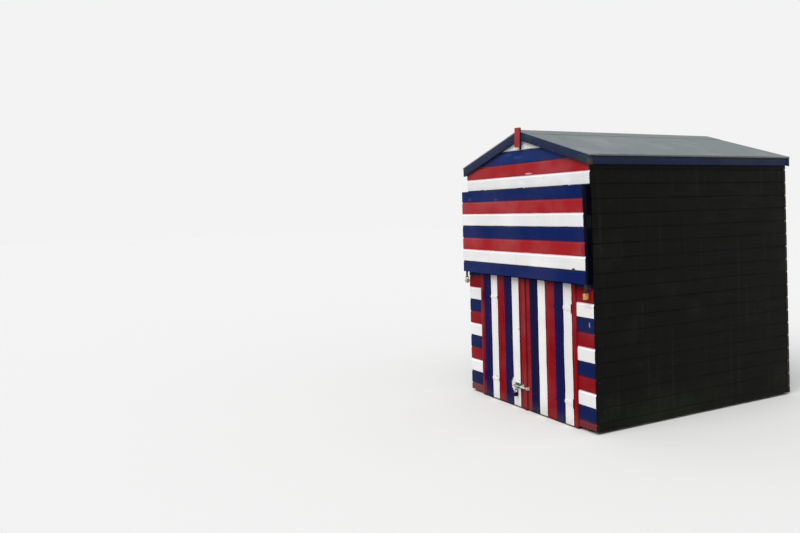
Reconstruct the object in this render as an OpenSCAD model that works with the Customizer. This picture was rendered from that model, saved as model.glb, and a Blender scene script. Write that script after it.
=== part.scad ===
// Beach hut with a boarded front, a pair of low doors and a top-hung flap above them.
// Millimetres. X runs across the front, Y runs from front to back, Z is up.
// The origin is on the ground at the middle of the footprint, and the front faces -Y.

/* [Overall] */
// Width over the side wall boards
hut_w = 1800; // [1700:10:2100]
// Depth from the face of the front wall to the face of the back wall
hut_d = 2400; // [1600:10:3600]
// Height of the roof over the side walls, above the top of the flap
wall_over_flap = 249; // [200:0.5:400]
// Slope of the roof in degrees
roof_pitch = 17.1; // [13:0.1:20]

/* [Floor] */
// Width of each bearer under the floor
bearer_w = 75; // [50:1:100]
// Height of each bearer
bearer_h = 75; // [50:1:90]
// How far the outer bearers stand in from the side walls
bearer_inset = 62; // [30:1:120]
// How far the ends of the bearers stand in from the front and back boards
bearer_end_inset = 34; // [10:1:80]
// Thickness of the floor boards
floor_t = 19; // [15:1:28]
// Cover width of one floor board
floor_board_w = 112; // [80:1:150]
// Side of the V cut along the joints of the floor and roof boards
vee_cut = 3; // [1:0.5:5]

/* [Frame] */
// Thickness of the frame timbers, measured through the wall
frame_t = 45; // [34:1:60]
// Width of a stud, a post or a plate, measured along the wall
stud_w = 45; // [34:1:60]
// Number of bays between the studs of a side wall
side_bays = 3; // [2:1:5]
// Number of bays between the studs of the back wall
back_bays = 3; // [2:1:4]
// Width of a door post
door_post_w = 70; // [50:1:90]
// How far the doors lap onto the faces of the door posts
door_lap = 14; // [8:1:25]
// Height of the header over the front opening
header_h = 90; // [60:1:100]
// Depth of the rafters in the gables, measured upright
rafter_h = 72; // [50:1:80]
// Height of the plate along the top of a side wall, at its outer face
top_plate_h = 70; // [50:1:95]
// How far the header drops below the top of the flap
header_drop = 10; // [8:1:30]

/* [Wall boards] */
// Cover height of one wall board
board_pitch = 120; // [100:1:150]
// Cover height of one gable board
gable_board_pitch = 117; // [100:1:150]
// Height of the lowest gable board
gable_first_h = 109; // [60:1:140]
// Space between the top of the flap and the gable boards
gable_gap = 10; // [8:0.5:20]
// Thickness of a wall board
board_t = 16; // [12:1:22]
// Height of the hollow cove along the top of a board
cove_h = 20; // [8:1:30]
// Depth of that cove
cove_d = 7; // [3:0.5:9]
// Height of the first joint between boards
first_joint_z = 90; // [60:1:120]
// Height of the lower edge of the boards above the ground
boards_bottom = 18; // [5:1:40]
// Width of the boarded panel beside each door post
panel_w = 210; // [170:1:240]
// Width of the upright facing on each door post
facing_w = 41; // [38:1:75]
// Height of the lower edge of the facings
facing_bottom = 6; // [5:1:45]

/* [Doors] */
// How far the doors and facings stand in front of the wall boards
door_proud = 9; // [6:1:12]
// Thickness of the door boards
door_board_t = 19; // [15:1:19]
// Height of the lower edge of the doors
door_bottom = 6; // [5:1:45]
// Space between the top of the doors and the flap
door_top_gap = 16; // [6:1:20]
// Space between a door and what it closes against
door_gap = 6; // [5:0.5:8]
// Width of the cover strip on the meeting edge
cover_strip_w = 44; // [30:1:60]
// Thickness of the cover strip
cover_strip_t = 10; // [6:1:14]
// Edge taken off the front corners of the cover strip
cover_strip_edge = 3; // [1:0.5:5]
// Boards in the left door
left_door_boards = 6; // [4:1:8]
// Full boards in the right door, beside its narrow first one
right_door_boards = 5; // [3:1:7]
// Width of the narrow board at the meeting edge of the right door
narrow_board_w = 50; // [30:1:60]
// Width of the V joint between door boards
vee_w = 7; // [3:0.5:12]
// Depth of the bead line down the middle of a door board
bead_d = 1.2; // [0.5:0.1:2]
// Width of a ledge or brace behind the door boards
ledge_w = 90; // [60:1:110]
// Thickness of a ledge or brace
ledge_t = 22; // [16:1:25]
// How far the ledges stop short of the edges of a door
ledge_inset = 30; // [22:1:60]
// Height of the middle of the lower ledge
low_ledge_z = 200; // [196:1:260]
// Height of the middle of the upper ledge
high_ledge_z = 985; // [800:1:1080]

/* [Flap] */
// Height of the top of the flap
flap_top = 2000; // [1900:1:2010]
// Height of the flap
flap_h = 792; // [700:1:850]
// How far the flap stops short of each corner of the hut
flap_side_inset = 1; // [0:1:40]
// Space between the back of the closed flap and the wall
flap_gap = 6; // [5.5:0.5:12]
// Depth of the timbers behind the flap boards
flap_frame_t = 48; // [35:1:60]
// Width of those timbers
flap_rail_w = 45; // [35:1:70]
// Cover height of one flap board
flap_board_pitch = 116.5; // [100:0.5:140]
// Cover height of the top flap board
flap_top_board_h = 101; // [70:1:118]
// Bays between the uprights of the flap
flap_bays = 3; // [2:1:5]

/* [Roof] */
// Thickness of the roof boards
roof_board_t = 12; // [9:1:22]
// Cover width of one roof board
roof_board_w = 120; // [90:1:160]
// Overhang of the roof boards beyond the side walls
eaves_out = 24; // [22:1:60]
// Thickness of the eaves boards
eaves_board_t = 18; // [12:1:20]
// Depth of the eaves boards
eaves_board_h = 75; // [50:1:110]
// Thickness of the bargeboards
barge_t = 28; // [18:1:40]
// Depth of the bargeboards, measured upright
barge_h = 86; // [70:1:110]
// Thickness of the roofing felt
felt_t = 3; // [2:0.5:5]
// How far the felt is folded down over the edges
felt_fold = 10; // [6:1:35]
// Width of the ridge beam
ridge_beam_w = 45; // [34:1:60]
// Depth of the ridge beam
ridge_beam_h = 95; // [60:1:140]
// Width of a purlin
purlin_w = 45; // [34:1:60]
// Depth of a purlin
purlin_h = 70; // [45:1:90]
// Fitting gap between the roof boards and what is under them
seat_gap = 0.05; // [0.02:0.01:0.5]
// Place of a purlin up the slope, from 0 at the ridge to 1 at the wall
purlin_at = 0.52; // [0.35:0.01:0.65]
// Width of the finial block
finial_w = 79; // [40:1:100]
// Thickness of the finial block
finial_t = 15; // [10:1:40]
// Height of the finial block
finial_h = 176; // [120:1:260]
// How far the finial stands above the ridge
finial_up = 26; // [20:1:120]
// Edge taken off the top of the finial block
finial_edge = 4; // [2:0.5:10]
// Width of the batten under the point of the bargeboards
point_batten_w = 16; // [10:1:40]
// Thickness of that batten
point_batten_t = 12; // [6:1:20]
// How far it runs down below the bargeboards
point_batten_l = 86; // [40:1:120]

/* [Hinges] */
// Thickness of hinge plates and straps
plate_t = 3; // [2:0.5:4]
// Radius of a door hinge knuckle
door_knuckle_r = 6; // [5:0.5:8]
// Radius of a door hinge pin
door_pin_r = 3; // [2:0.5:4]
// Length of the strap on a door
strap_l = 262; // [150:1:320]
// Width of the strap at the knuckle
strap_w = 35; // [25:1:50]
// Width of the strap at its tip
strap_tip_w = 18; // [12:1:30]
// Width of the plate on the facing
door_plate_w = 36; // [30:1:40]
// Height of the plate on the facing
door_plate_h = 120; // [80:1:150]
// Radius of a flap hinge knuckle
flap_knuckle_r = 5; // [4:0.5:5.5]
// Radius of a flap hinge pin
flap_pin_r = 2.5; // [1.5:0.5:3]
// Length of one flap hinge along its pin
flap_hinge_l = 76; // [50:1:120]
// Height of the flap hinge plate on the gable
flap_plate_h = 40; // [25:1:60]
// Number of flap hinges
flap_hinges = 3; // [2:1:5]
// Running clearance of a knuckle round its pin
pin_clearance = 0.05; // [0.02:0.01:0.1]
// How far a door hinge pin reaches past the strap at each end
door_pin_reach = 20; // [12:1:30]
// Space between the face of a door and its hinge knuckles
door_knuckle_gap = 0.5; // [0.3:0.1:1]
// Share of a flap hinge that is its middle knuckle
flap_middle_share = 0.44; // [0.3:0.01:0.6]
// How far the leaf of a flap hinge runs onto the flap
flap_leaf_l = 34; // [20:1:45]
// Space between the flap hinge knuckles and the flap
flap_knuckle_gap = 1; // [0.5:0.1:1.5]
// Space between the ends of two knuckles
knuckle_end_gap = 0.5; // [0.3:0.1:1]
// Share of the flap's width over which its hinges spread
flap_hinge_spread = 0.72; // [0.5:0.01:0.9]

/* [Bolt and locks] */
// Radius of the bar of the door bolt
bar_r = 7; // [5:0.5:9]
// Distance of the bar from the face of the door
bar_out = 23; // [20:1:30]
// Height of the bar
bolt_z = 204; // [150:1:260]
// Distance of the far end of the bolt from the middle of the hut
bolt_reach = 155; // [130:1:180]
// Height of the bolt plates
bolt_plate_h = 46; // [30:1:60]
// Wall of a bolt guide round the bar
guide_wall = 4; // [3:0.5:6]
// Length of a bolt guide along the bar
guide_l = 18; // [12:1:20]
// How far a guide stands in from the end of its plate
guide_inset = 8; // [3:1:12]
// Distance of the bolt's tongue from its far end
tongue_inset = 36; // [34:1:50]
// Width of the tongue
tongue_w = 26; // [20:1:34]
// Length of the tongue below the bar
tongue_drop = 42; // [38:1:50]
// Thickness of the tongue
tongue_t = 4; // [3:0.5:6]
// Width of the keeper on the right door
keeper_w = 34; // [28:1:40]
// Distance of the right flap lock from the middle of the hut
right_lock_x = 855; // [760:1:880]
// Distance of the left flap lock from the middle of the hut
left_lock_x = 880; // [760:1:880]
// Drop of the hasp below the flap
hasp_drop = 62; // [50:1:80]
// Width of a hasp
hasp_w = 36; // [25:1:50]
// How far the foot of a hasp runs forward under the flap
hasp_foot_front = 12; // [8:1:16]
// How far the foot of a hasp runs back under the flap
hasp_foot_back = 24; // [16:1:30]
// Place of the hasps through the flap, from 0 at its back to 1 at its boards
hasp_at = 0.78; // [0.5:0.01:0.8]
// Radius of the hole in a hasp or tongue
hasp_hole_r = 6; // [5:0.5:7]
// Height of the hole above the end of a hasp
hasp_hole_up = 17.5; // [12:0.5:20]
// Height of the hole above the end of the bolt's tongue
tongue_hole_up = 10; // [9:0.5:14]
// Height of a staple below the flap
staple_drop = 28; // [20:1:34]
// Radius of a staple's loop
staple_r = 8; // [6:0.5:10]
// Radius of a staple's rod
staple_rod_r = 2.5; // [2:0.5:3]
// Radius of a padlock's shackle rod
shackle_r = 3.5; // [2.5:0.5:4]
// Distance between the middles of the shackle's legs
shackle_span = 28; // [22:1:32]
// Height of a padlock body
lock_body_h = 40; // [30:1:50]
// Width of a padlock body
lock_body_w = 46; // [40:1:52]
// Thickness of a padlock body
lock_body_t = 20; // [14:1:26]
// Height of the body of the flap's square padlock
big_lock_h = 48; // [36:1:60]
// Width of that body
big_lock_w = 56; // [46:1:60]
// Thickness of that body
big_lock_t = 26; // [18:1:32]
// Running clearance of the bar in the keeper
keeper_clearance = 1; // [0.5:0.1:2]
// How far the keeper stands in from the edge of the right door
keeper_inset = 2; // [1:0.5:10]
// Length of the straight legs of a shackle
shackle_leg = 14; // [8:1:20]
// Size of the door's padlock against the flap's
small_lock = 0.86; // [0.7:0.01:1]

/* [Hidden] */

$fn = 48;

PAINT = ["#9e2d35", "#23305f", "#e9e9e6"];
RED = 0;
NAVY = 1;
WHITE = 2;
BLACK_STAIN = "#1a1a18";
BARGE_NAVY = "#2c3350";
BARE_TIMBER = "#a58a68";
FELT_GREEN = "#7f8886";
GALVANISED = "#8f9590";
DARK_STEEL = "#2a2a2c";
BRASS = "#c79161";

slope = tan(roof_pitch);
half_w = hut_w / 2;
ridge_z = flap_top + wall_over_flap + half_w * slope;
front_y = -hut_d / 2;
back_y = hut_d / 2;
inner_w = half_w - board_t;
inner_front_y = front_y + board_t;
inner_back_y = back_y - board_t;
frame_front_y = inner_front_y + frame_t;
frame_back_y = inner_back_y - frame_t;
floor_top = bearer_h + floor_t;
sill_top = floor_top + stud_w;
roof_edge_x = half_w + eaves_out;
header_bottom = flap_top - header_drop;
header_top = header_bottom + header_h;
gable_bottom = flap_top + gable_gap;
flap_bottom = flap_top - flap_h;
door_face_y = front_y - door_proud;
door_top = flap_bottom - door_top_gap;
facing_inner_x = half_w - panel_w - facing_w;
hinge_x = facing_inner_x - door_gap / 2;
door_edge_x = facing_inner_x - door_gap;
post_inner_x = door_edge_x - door_lap;
meeting_x = cover_strip_w / 2;
hinge_y = door_face_y - door_knuckle_r - door_knuckle_gap;
hinge_heights = [low_ledge_z, high_ledge_z];
flap_back_y = front_y - flap_gap;
flap_board_y = flap_back_y - flap_frame_t;
flap_face_y = flap_board_y - board_t;
flap_half_w = half_w - flap_side_inset;
flap_axis_y = flap_back_y - flap_knuckle_r - flap_knuckle_gap;
flap_axis_z = flap_top + flap_knuckle_r + flap_knuckle_gap;
hasp_y = flap_back_y - flap_frame_t * hasp_at;
lock_places = [-left_lock_x, right_lock_x];
tongue_hole_z = bolt_z - tongue_drop + tongue_hole_up;
bar_short = 4;
shackle_top_z = flap_bottom - hasp_drop + hasp_hole_up - hasp_hole_r + shackle_r;

// Height of the top and the underside of the roof boards at a distance from the middle
function roof_top(x) = ridge_z - abs(x) * slope;
function roof_under(x) = roof_top(x) - roof_board_t / cos(roof_pitch);

// Height of the timbers and boards that carry the roof boards
function seat(x) = roof_under(x) - seat_gap;

// Height of the joint above wall board k, counted from 0 at the ground
function joint_z(k) = first_joint_z + k * board_pitch;

// Height of the joint above gable board i, counted from 0 at the bottom
function gable_joint_z(i) = gable_bottom + gable_first_h + i * gable_board_pitch;

// Index of the wall board at height z
function board_at(z) = floor((z - first_joint_z) / board_pitch + 0.001) + 1;

// Evenly spaced middles of n pieces of width w that fill a run from a to b, ends flush
function spread(a, b, w, n) = [for (i = [0:n]) a + w / 2 + (b - a - w) * i / n];

// Carries a profile drawn in (Y, Z) along X
module along_x(x0, x1) {
    translate([x0, 0, 0]) rotate([90, 0, 90]) linear_extrude(x1 - x0) children();
}

// Carries a profile drawn in (X, Z) along Y
module along_y(y0, y1) {
    translate([0, y1, 0]) rotate([90, 0, 0]) linear_extrude(y1 - y0) children();
}

// A block between two opposite corners
module block(a, b) {
    translate([min(a.x, b.x), min(a.y, b.y), min(a.z, b.z)])
        cube([abs(b.x - a.x), abs(b.y - a.y), abs(b.z - a.z)]);
}

// Both hands of a piece that is drawn on the right
module both_sides() {
    children();
    mirror([1, 0, 0]) children();
}

// Profile of one weatherboard: square lower edge, flat face, hollow cove under the next board.
// It is drawn with its outer face at 0 and its thickness along +X of the sketch.
module weatherboard(z0, z1, coved, t = board_t) {
    steps = 5;
    cove = [for (i = [0:steps])
        [cove_d * sin(90 * i / steps), z1 - cove_h * cos(90 * i / steps)]];
    polygon(concat([[t, z0], [0, z0]],
                   coved && z1 - z0 > 1.25 * cove_h ? cove : [[0, z1]],
                   [[t, z1]]));
}

// Stack of weatherboards from z0 to z1 in one sketch
module boarding(z0, z1) {
    for (k = [board_at(z0):board_at(z1 - 1)])
        weatherboard(max(z0, joint_z(k - 1)), min(z1, joint_z(k)), joint_z(k) <= z1);
}

// The space under the roof boards, wide enough for the walls
module under_roof() {
    along_y(2 * front_y, 2 * back_y)
        polygon([[-roof_edge_x, 0], [roof_edge_x, 0],
                 [roof_edge_x, seat(roof_edge_x)], [0, seat(0)],
                 [-roof_edge_x, seat(roof_edge_x)]]);
}

// Chevron between two upright distances below the top of the roof boards
module chevron(reach, high, low) {
    polygon([[-reach, roof_top(reach) - high], [0, ridge_z - high], [reach, roof_top(reach) - high],
             [reach, roof_top(reach) - low], [0, ridge_z - low], [-reach, roof_top(reach) - low]]);
}

module bearers() {
    color(BLACK_STAIN)
        for (side = [-1, 0, 1])
            translate([side * (inner_w - bearer_inset - bearer_w / 2) - bearer_w / 2,
                       inner_front_y + bearer_end_inset, 0])
                cube([bearer_w, inner_back_y - inner_front_y - 2 * bearer_end_inset, bearer_h]);
}

// Boards that run across the hut, with a V along each joint
module floor_boards() {
    count = round((inner_back_y - inner_front_y) / floor_board_w);
    pitch = (inner_back_y - inner_front_y) / count;
    color(BARE_TIMBER)
        along_x(-inner_w, inner_w)
            difference() {
                translate([inner_front_y, bearer_h]) square([inner_back_y - inner_front_y, floor_t]);
                for (i = [1:count - 1])
                    translate([inner_front_y + i * pitch, floor_top]) rotate(45)
                        square(vee_cut, center = true);
            }
}

module front_sill() {
    color(BARE_TIMBER)
        block([-inner_w, inner_front_y, floor_top], [inner_w, frame_front_y, sill_top]);
}

module front_posts() {
    color(BARE_TIMBER)
        both_sides() {
            block([inner_w - stud_w, inner_front_y, sill_top], [inner_w, frame_front_y, header_bottom]);
            block([post_inner_x, inner_front_y, sill_top],
                  [post_inner_x + door_post_w, frame_front_y, header_bottom]);
        }
}

module front_header() {
    color(BARE_TIMBER)
        block([-inner_w, inner_front_y, header_bottom], [inner_w, frame_front_y, header_top]);
}

// Rafter pair, king stud and corner studs behind the boards of one gable
module gable_frame(y0, y1) {
    under = ridge_z - seat(0);
    color(BARE_TIMBER) {
        along_y(y0, y1) chevron(inner_w, under, under + rafter_h);
        along_y(y0, y1)
            translate([-stud_w / 2, header_top])
                square([stud_w, seat(0) - rafter_h / 2 - header_top]);
        both_sides()
            along_y(y0, y1)
                translate([inner_w - stud_w, header_top])
                    square([stud_w, seat(inner_w) - rafter_h / 2 - header_top]);
    }
}

module front_gable_frame() {
    gable_frame(inner_front_y, frame_front_y);
}

module back_gable_frame() {
    gable_frame(frame_back_y, inner_back_y);
}

// Sole plate, studs and a top plate that is bevelled to the roof, drawn on the right
module side_frame() {
    inner_x = inner_w - frame_t;
    plate_bottom = seat(inner_w) - top_plate_h;
    color(BARE_TIMBER) {
        block([inner_x, frame_front_y, floor_top], [inner_w, frame_back_y, sill_top]);
        for (y = spread(frame_front_y, frame_back_y, stud_w, side_bays))
            block([inner_x, y - stud_w / 2, sill_top], [inner_w, y + stud_w / 2, plate_bottom]);
        along_y(frame_front_y, frame_back_y)
            polygon([[inner_x, plate_bottom], [inner_w, plate_bottom],
                     [inner_w, seat(inner_w)], [inner_x, seat(inner_x)]]);
    }
}

module right_frame() {
    side_frame();
}

module left_frame() {
    mirror([1, 0, 0]) side_frame();
}

module back_frame() {
    color(BARE_TIMBER) {
        block([-inner_w, frame_back_y, floor_top], [inner_w, inner_back_y, sill_top]);
        for (x = spread(-inner_w, inner_w, stud_w, back_bays))
            block([x - stud_w / 2, frame_back_y, sill_top], [x + stud_w / 2, inner_back_y, header_bottom]);
        block([-inner_w, frame_back_y, header_bottom], [inner_w, inner_back_y, header_top]);
    }
}

// Side wall boards between the front and back boards, drawn on the right
module side_wall_boards() {
    color(BLACK_STAIN)
        intersection() {
            along_y(inner_front_y, inner_back_y)
                translate([half_w, 0]) mirror([1, 0]) boarding(boards_bottom, roof_top(half_w));
            under_roof();
        }
}

module right_wall_boards() {
    side_wall_boards();
}

module left_wall_boards() {
    mirror([1, 0, 0]) side_wall_boards();
}

module back_wall_boards() {
    color(BLACK_STAIN)
        intersection() {
            along_x(-half_w, half_w)
                translate([back_y, 0]) mirror([1, 0]) boarding(boards_bottom, ridge_z);
            under_roof();
        }
}

// Front boards from x0 to x1, each in the paint of its own stripe
module striped_boards(x0, x1, z0, z1) {
    for (k = [board_at(z0):board_at(z1 - 1)])
        color(PAINT[k % 3])
            along_x(x0, x1)
                translate([front_y, 0])
                    weatherboard(max(z0, joint_z(k - 1)), min(z1, joint_z(k)), joint_z(k) <= z1);
}

// Panel beside the doors. Above the doors it also covers the face of the door post.
module front_panel_right() {
    striped_boards(half_w - panel_w, half_w, boards_bottom, door_top);
    striped_boards(facing_inner_x, half_w, door_top, gable_bottom);
}

module front_panel_left() {
    mirror([1, 0, 0]) front_panel_right();
}

// Gable boards, white at the bottom, then red and navy
module front_gable_boards() {
    count = 1 + ceil((ridge_z - gable_joint_z(0)) / gable_board_pitch);
    intersection() {
        for (i = [0:count - 1])
            color(PAINT[(i + WHITE) % 3])
                along_x(-half_w, half_w)
                    translate([front_y, 0])
                        weatherboard(i == 0 ? gable_bottom : gable_joint_z(i - 1), gable_joint_z(i), true);
        under_roof();
    }
}

module post_facings() {
    color(PAINT[RED])
        both_sides()
            block([facing_inner_x, door_face_y, facing_bottom],
                  [half_w - panel_w, inner_front_y, door_top]);
}

// Ridge beam, bevelled on top to both slopes
module ridge_beam_timber() {
    half = ridge_beam_w / 2;
    color(BARE_TIMBER)
        along_y(frame_front_y, frame_back_y)
            polygon([[-half, seat(0) - ridge_beam_h], [half, seat(0) - ridge_beam_h],
                     [half, seat(half)], [0, seat(0)], [-half, seat(half)]]);
}

module purlins() {
    x = purlin_at * half_w;
    color(BARE_TIMBER)
        both_sides()
            along_y(frame_front_y, frame_back_y)
                translate([x, seat(x)]) rotate(-roof_pitch)
                    translate([-purlin_w / 2, -purlin_h]) square([purlin_w, purlin_h]);
}

// One slope of the roof, boarded from ridge to eaves, with a V under each joint
module roof_slope() {
    count = round(hut_d / roof_board_w);
    color(BARE_TIMBER)
        difference() {
            along_y(front_y, back_y)
                polygon([[0, roof_under(0)], [roof_edge_x, roof_under(roof_edge_x)],
                         [roof_edge_x, roof_top(roof_edge_x)], [0, ridge_z]]);
            for (i = [1:count - 1])
                translate([0, front_y + hut_d * i / count, roof_under(0)])
                    rotate([0, roof_pitch, 0])
                        along_x(-roof_board_t, roof_edge_x * 1.2) rotate(45) square(vee_cut, center = true);
        }
}

module roof_boards_right() {
    roof_slope();
}

module roof_boards_left() {
    mirror([1, 0, 0]) roof_slope();
}

// Felt over both slopes, folded down over the eaves and the bargeboards and cut round the finial
module roof_felt() {
    end_y = back_y + barge_t;
    color(FELT_GREEN)
        difference() {
            along_y(-end_y - felt_t, end_y + felt_t)
                chevron(roof_edge_x + felt_t, -felt_t / cos(roof_pitch), felt_fold);
            along_y(-end_y, end_y) chevron(roof_edge_x, 0, 2 * felt_fold);
            block([-finial_w / 2, -end_y - 2 * felt_t, ridge_z - finial_h],
                  [finial_w / 2, -end_y, ridge_z + finial_up]);
        }
}

module bargeboards(y0) {
    color(BARGE_NAVY) along_y(y0, y0 + barge_t) chevron(roof_edge_x, 0, barge_h);
}

module bargeboards_front() {
    bargeboards(front_y - barge_t);
}

module bargeboards_back() {
    bargeboards(back_y);
}

// Board along the eaves, on the face of the side wall, bevelled to the roof
module eaves_board_right() {
    outer_x = half_w + eaves_board_t;
    color(BARGE_NAVY)
        along_y(front_y, back_y)
            polygon([[half_w, seat(half_w)], [outer_x, seat(outer_x)],
                     [outer_x, seat(half_w) - eaves_board_h],
                     [half_w, seat(half_w) - eaves_board_h]]);
}

module eaves_board_left() {
    mirror([1, 0, 0]) eaves_board_right();
}

// Square block on the point of the bargeboards, with its top edges taken off, and the batten
// on the gable boards under that point
module finial() {
    half = finial_w / 2;
    top = ridge_z + finial_up;
    batten = point_batten_w / 2;
    point_z = ridge_z - barge_h;
    shoulder_z = point_z - batten * slope;
    color(PAINT[RED])
        along_y(front_y - barge_t - finial_t, front_y - barge_t)
            polygon([[-half, top - finial_h], [half, top - finial_h], [half, top - finial_edge],
                     [half - finial_edge, top], [finial_edge - half, top], [-half, top - finial_edge]]);
    color(BARGE_NAVY)
        along_y(front_y - point_batten_t, front_y)
            polygon([[-batten, point_z - point_batten_l], [batten, point_z - point_batten_l],
                     [batten, shoulder_z], [0, point_z], [-batten, shoulder_z]]);
}

// Fixed half of a strap hinge: plate on the facing, two knuckles and the pin. Drawn on the right.
module door_hinge_plate(z) {
    reach = strap_w / 2 + door_pin_reach;
    face = door_face_y - hinge_y;
    color(GALVANISED)
        translate([hinge_x, hinge_y, z]) {
            for (side = [-1, 1]) {
                translate([0, 0, side > 0 ? strap_w / 2 : -reach])
                    cylinder(r = door_knuckle_r, h = reach - strap_w / 2);
                block([0, face - plate_t, side * strap_w / 2],
                      [door_plate_w, face, side * door_plate_h / 2]);
            }
            block([door_knuckle_r + 1, face - plate_t, -strap_w / 2],
                  [door_plate_w, face, strap_w / 2]);
            translate([0, 0, -reach]) cylinder(r = door_pin_r, h = 2 * reach);
        }
}

module door_hinge_plates() {
    both_sides()
        for (z = hinge_heights) door_hinge_plate(z);
}

// Moving half of a strap hinge: knuckle and tapered strap on the door. side is 1 for the right
// door and -1 for the left one.
module door_strap(side, z) {
    knuckle_h = strap_w - 2 * knuckle_end_gap;
    face = door_face_y - hinge_y;
    color(GALVANISED)
        translate([side * hinge_x, hinge_y, z])
            difference() {
                union() {
                    translate([0, 0, -knuckle_h / 2]) cylinder(r = door_knuckle_r, h = knuckle_h);
                    along_y(face - plate_t, face)
                        polygon([[0, -knuckle_h / 2], [0, knuckle_h / 2],
                                 [-side * strap_l, strap_tip_w / 2], [-side * strap_l, -strap_tip_w / 2]]);
                    translate([-side * strap_l, face, 0]) rotate([90, 0, 0])
                        cylinder(d = strap_tip_w, h = plate_t);
                }
                translate([0, 0, -strap_w]) cylinder(r = door_pin_r + pin_clearance, h = 2 * strap_w);
            }
}

module door_right_straps() {
    for (z = hinge_heights) door_strap(1, z);
}

module door_left_straps() {
    for (z = hinge_heights) door_strap(-1, z);
}

// One door board from x0 to x1: half a V on each edge and a shallow bead line down its middle
module door_board(x0, x1) {
    half = vee_w / 2;
    middle = (x0 + x1) / 2;
    translate([0, 0, door_bottom])
        linear_extrude(door_top - door_bottom)
            translate([0, door_face_y])
                polygon([[x0, half], [x0 + half, 0], [middle - bead_d, 0], [middle, bead_d],
                         [middle + bead_d, 0], [x1 - half, 0], [x1, half],
                         [x1, door_board_t], [x0, door_board_t]]);
}

// Red, white and navy boards, counted from the hinge edge of the left door
module door_left_boards() {
    pitch = (meeting_x + door_edge_x) / left_door_boards;
    for (i = [0:left_door_boards - 1])
        color(PAINT[(i + NAVY) % 3])
            door_board(i * pitch - door_edge_x, (i + 1) * pitch - door_edge_x);
}

module door_right_boards() {
    start = meeting_x + door_gap;
    pitch = (door_edge_x - start - narrow_board_w) / right_door_boards;
    color(PAINT[RED]) door_board(start, start + narrow_board_w);
    for (i = [0:right_door_boards - 1])
        color(PAINT[(i + NAVY) % 3])
            door_board(start + narrow_board_w + i * pitch, start + narrow_board_w + (i + 1) * pitch);
}

// Three ledges and two braces behind a door that runs from x0 at the meeting edge to the hinge
// edge on the right. The braces rise from the hinge side.
module ledges(x0) {
    y0 = door_face_y + door_board_t;
    free_x = x0 + ledge_inset;
    hinge_end_x = post_inner_x - 2 * door_gap;
    middle_z = (low_ledge_z + high_ledge_z) / 2;
    half = ledge_w / 2;
    color(BARE_TIMBER)
        along_y(y0, y0 + ledge_t) {
            for (z = [low_ledge_z, middle_z, high_ledge_z])
                translate([free_x, z - half]) square([hinge_end_x - free_x, ledge_w]);
            for (z = [low_ledge_z, middle_z])
                polygon([[hinge_end_x, z + half], [hinge_end_x, z + half + ledge_w],
                         [free_x + ledge_w, z + middle_z - low_ledge_z - half],
                         [free_x, z + middle_z - low_ledge_z - half],
                         [hinge_end_x - ledge_w, z + half]]);
        }
}

module door_right_ledges() {
    ledges(meeting_x + door_gap);
}

module door_left_ledges() {
    mirror([1, 0, 0]) ledges(-meeting_x);
}

module door_left_cover_strip() {
    edge = cover_strip_edge;
    half = cover_strip_w / 2;
    color(PAINT[RED])
        translate([0, door_face_y - cover_strip_t, door_bottom])
            linear_extrude(door_top - door_bottom)
                polygon([[edge - half, 0], [half - edge, 0], [half, edge], [half, cover_strip_t],
                         [-half, cover_strip_t], [-half, edge]]);
}

// Guide that carries the bar in front of a plate on the door
module bolt_guide(x0, x1, r) {
    translate([x0, door_face_y - bar_out, bolt_z]) rotate([0, 90, 0]) cylinder(r = r, h = x1 - x0);
    block([x0, door_face_y - bar_out, bolt_z - r], [x1, door_face_y - plate_t, bolt_z + r]);
}

// Galvanised bolt: plate, two guides, the bar and the tongue that takes the padlock
module door_left_bolt() {
    plate_end_x = -meeting_x - bar_short;
    tongue_x = tongue_inset - bolt_reach;
    color(GALVANISED)
        difference() {
            union() {
                block([-bolt_reach, door_face_y - plate_t, bolt_z - bolt_plate_h / 2],
                      [plate_end_x, door_face_y, bolt_z + bolt_plate_h / 2]);
                bolt_guide(guide_inset - bolt_reach, guide_inset + guide_l - bolt_reach,
                           bar_r + guide_wall);
                bolt_guide(plate_end_x - bar_short - guide_l, plate_end_x - bar_short,
                           bar_r + guide_wall);
                translate([bar_short - bolt_reach, door_face_y - bar_out, bolt_z]) rotate([0, 90, 0])
                    cylinder(r = bar_r, h = meeting_x + bolt_reach - 2 * bar_short);
                block([tongue_x - tongue_w / 2, door_face_y - bar_out - tongue_t / 2,
                       bolt_z - tongue_drop],
                      [tongue_x + tongue_w / 2, door_face_y - bar_out + tongue_t / 2, bolt_z]);
            }
            translate([tongue_x, door_face_y, tongue_hole_z]) rotate([90, 0, 0])
                cylinder(r = hasp_hole_r, h = 2 * bar_out);
        }
}

// Keeper on the right door, in line with the bar
module door_right_keeper() {
    x0 = meeting_x + door_gap + keeper_inset;
    color(GALVANISED)
        difference() {
            union() {
                block([x0, door_face_y - plate_t, bolt_z - bolt_plate_h / 2],
                      [x0 + keeper_w, door_face_y, bolt_z + bolt_plate_h / 2]);
                bolt_guide(x0 + guide_inset, x0 + guide_inset + guide_l,
                           bar_r + keeper_clearance + guide_wall);
            }
            translate([x0, door_face_y - bar_out, bolt_z]) rotate([0, 90, 0])
                cylinder(r = bar_r + keeper_clearance, h = 2 * keeper_w);
        }
}

// Padlock whose shackle lies in the XZ plane, with the middle of the rod's top at the origin
module shackle() {
    span = shackle_span / 2;
    translate([0, 0, -span]) rotate([90, 0, 0]) rotate_extrude(angle = 180)
        translate([span, 0]) circle(shackle_r, $fn = 24);
    for (side = [-1, 1])
        translate([side * span, 0, -span - shackle_leg])
            cylinder(r = shackle_r, h = shackle_leg, $fn = 24);
}

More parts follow.
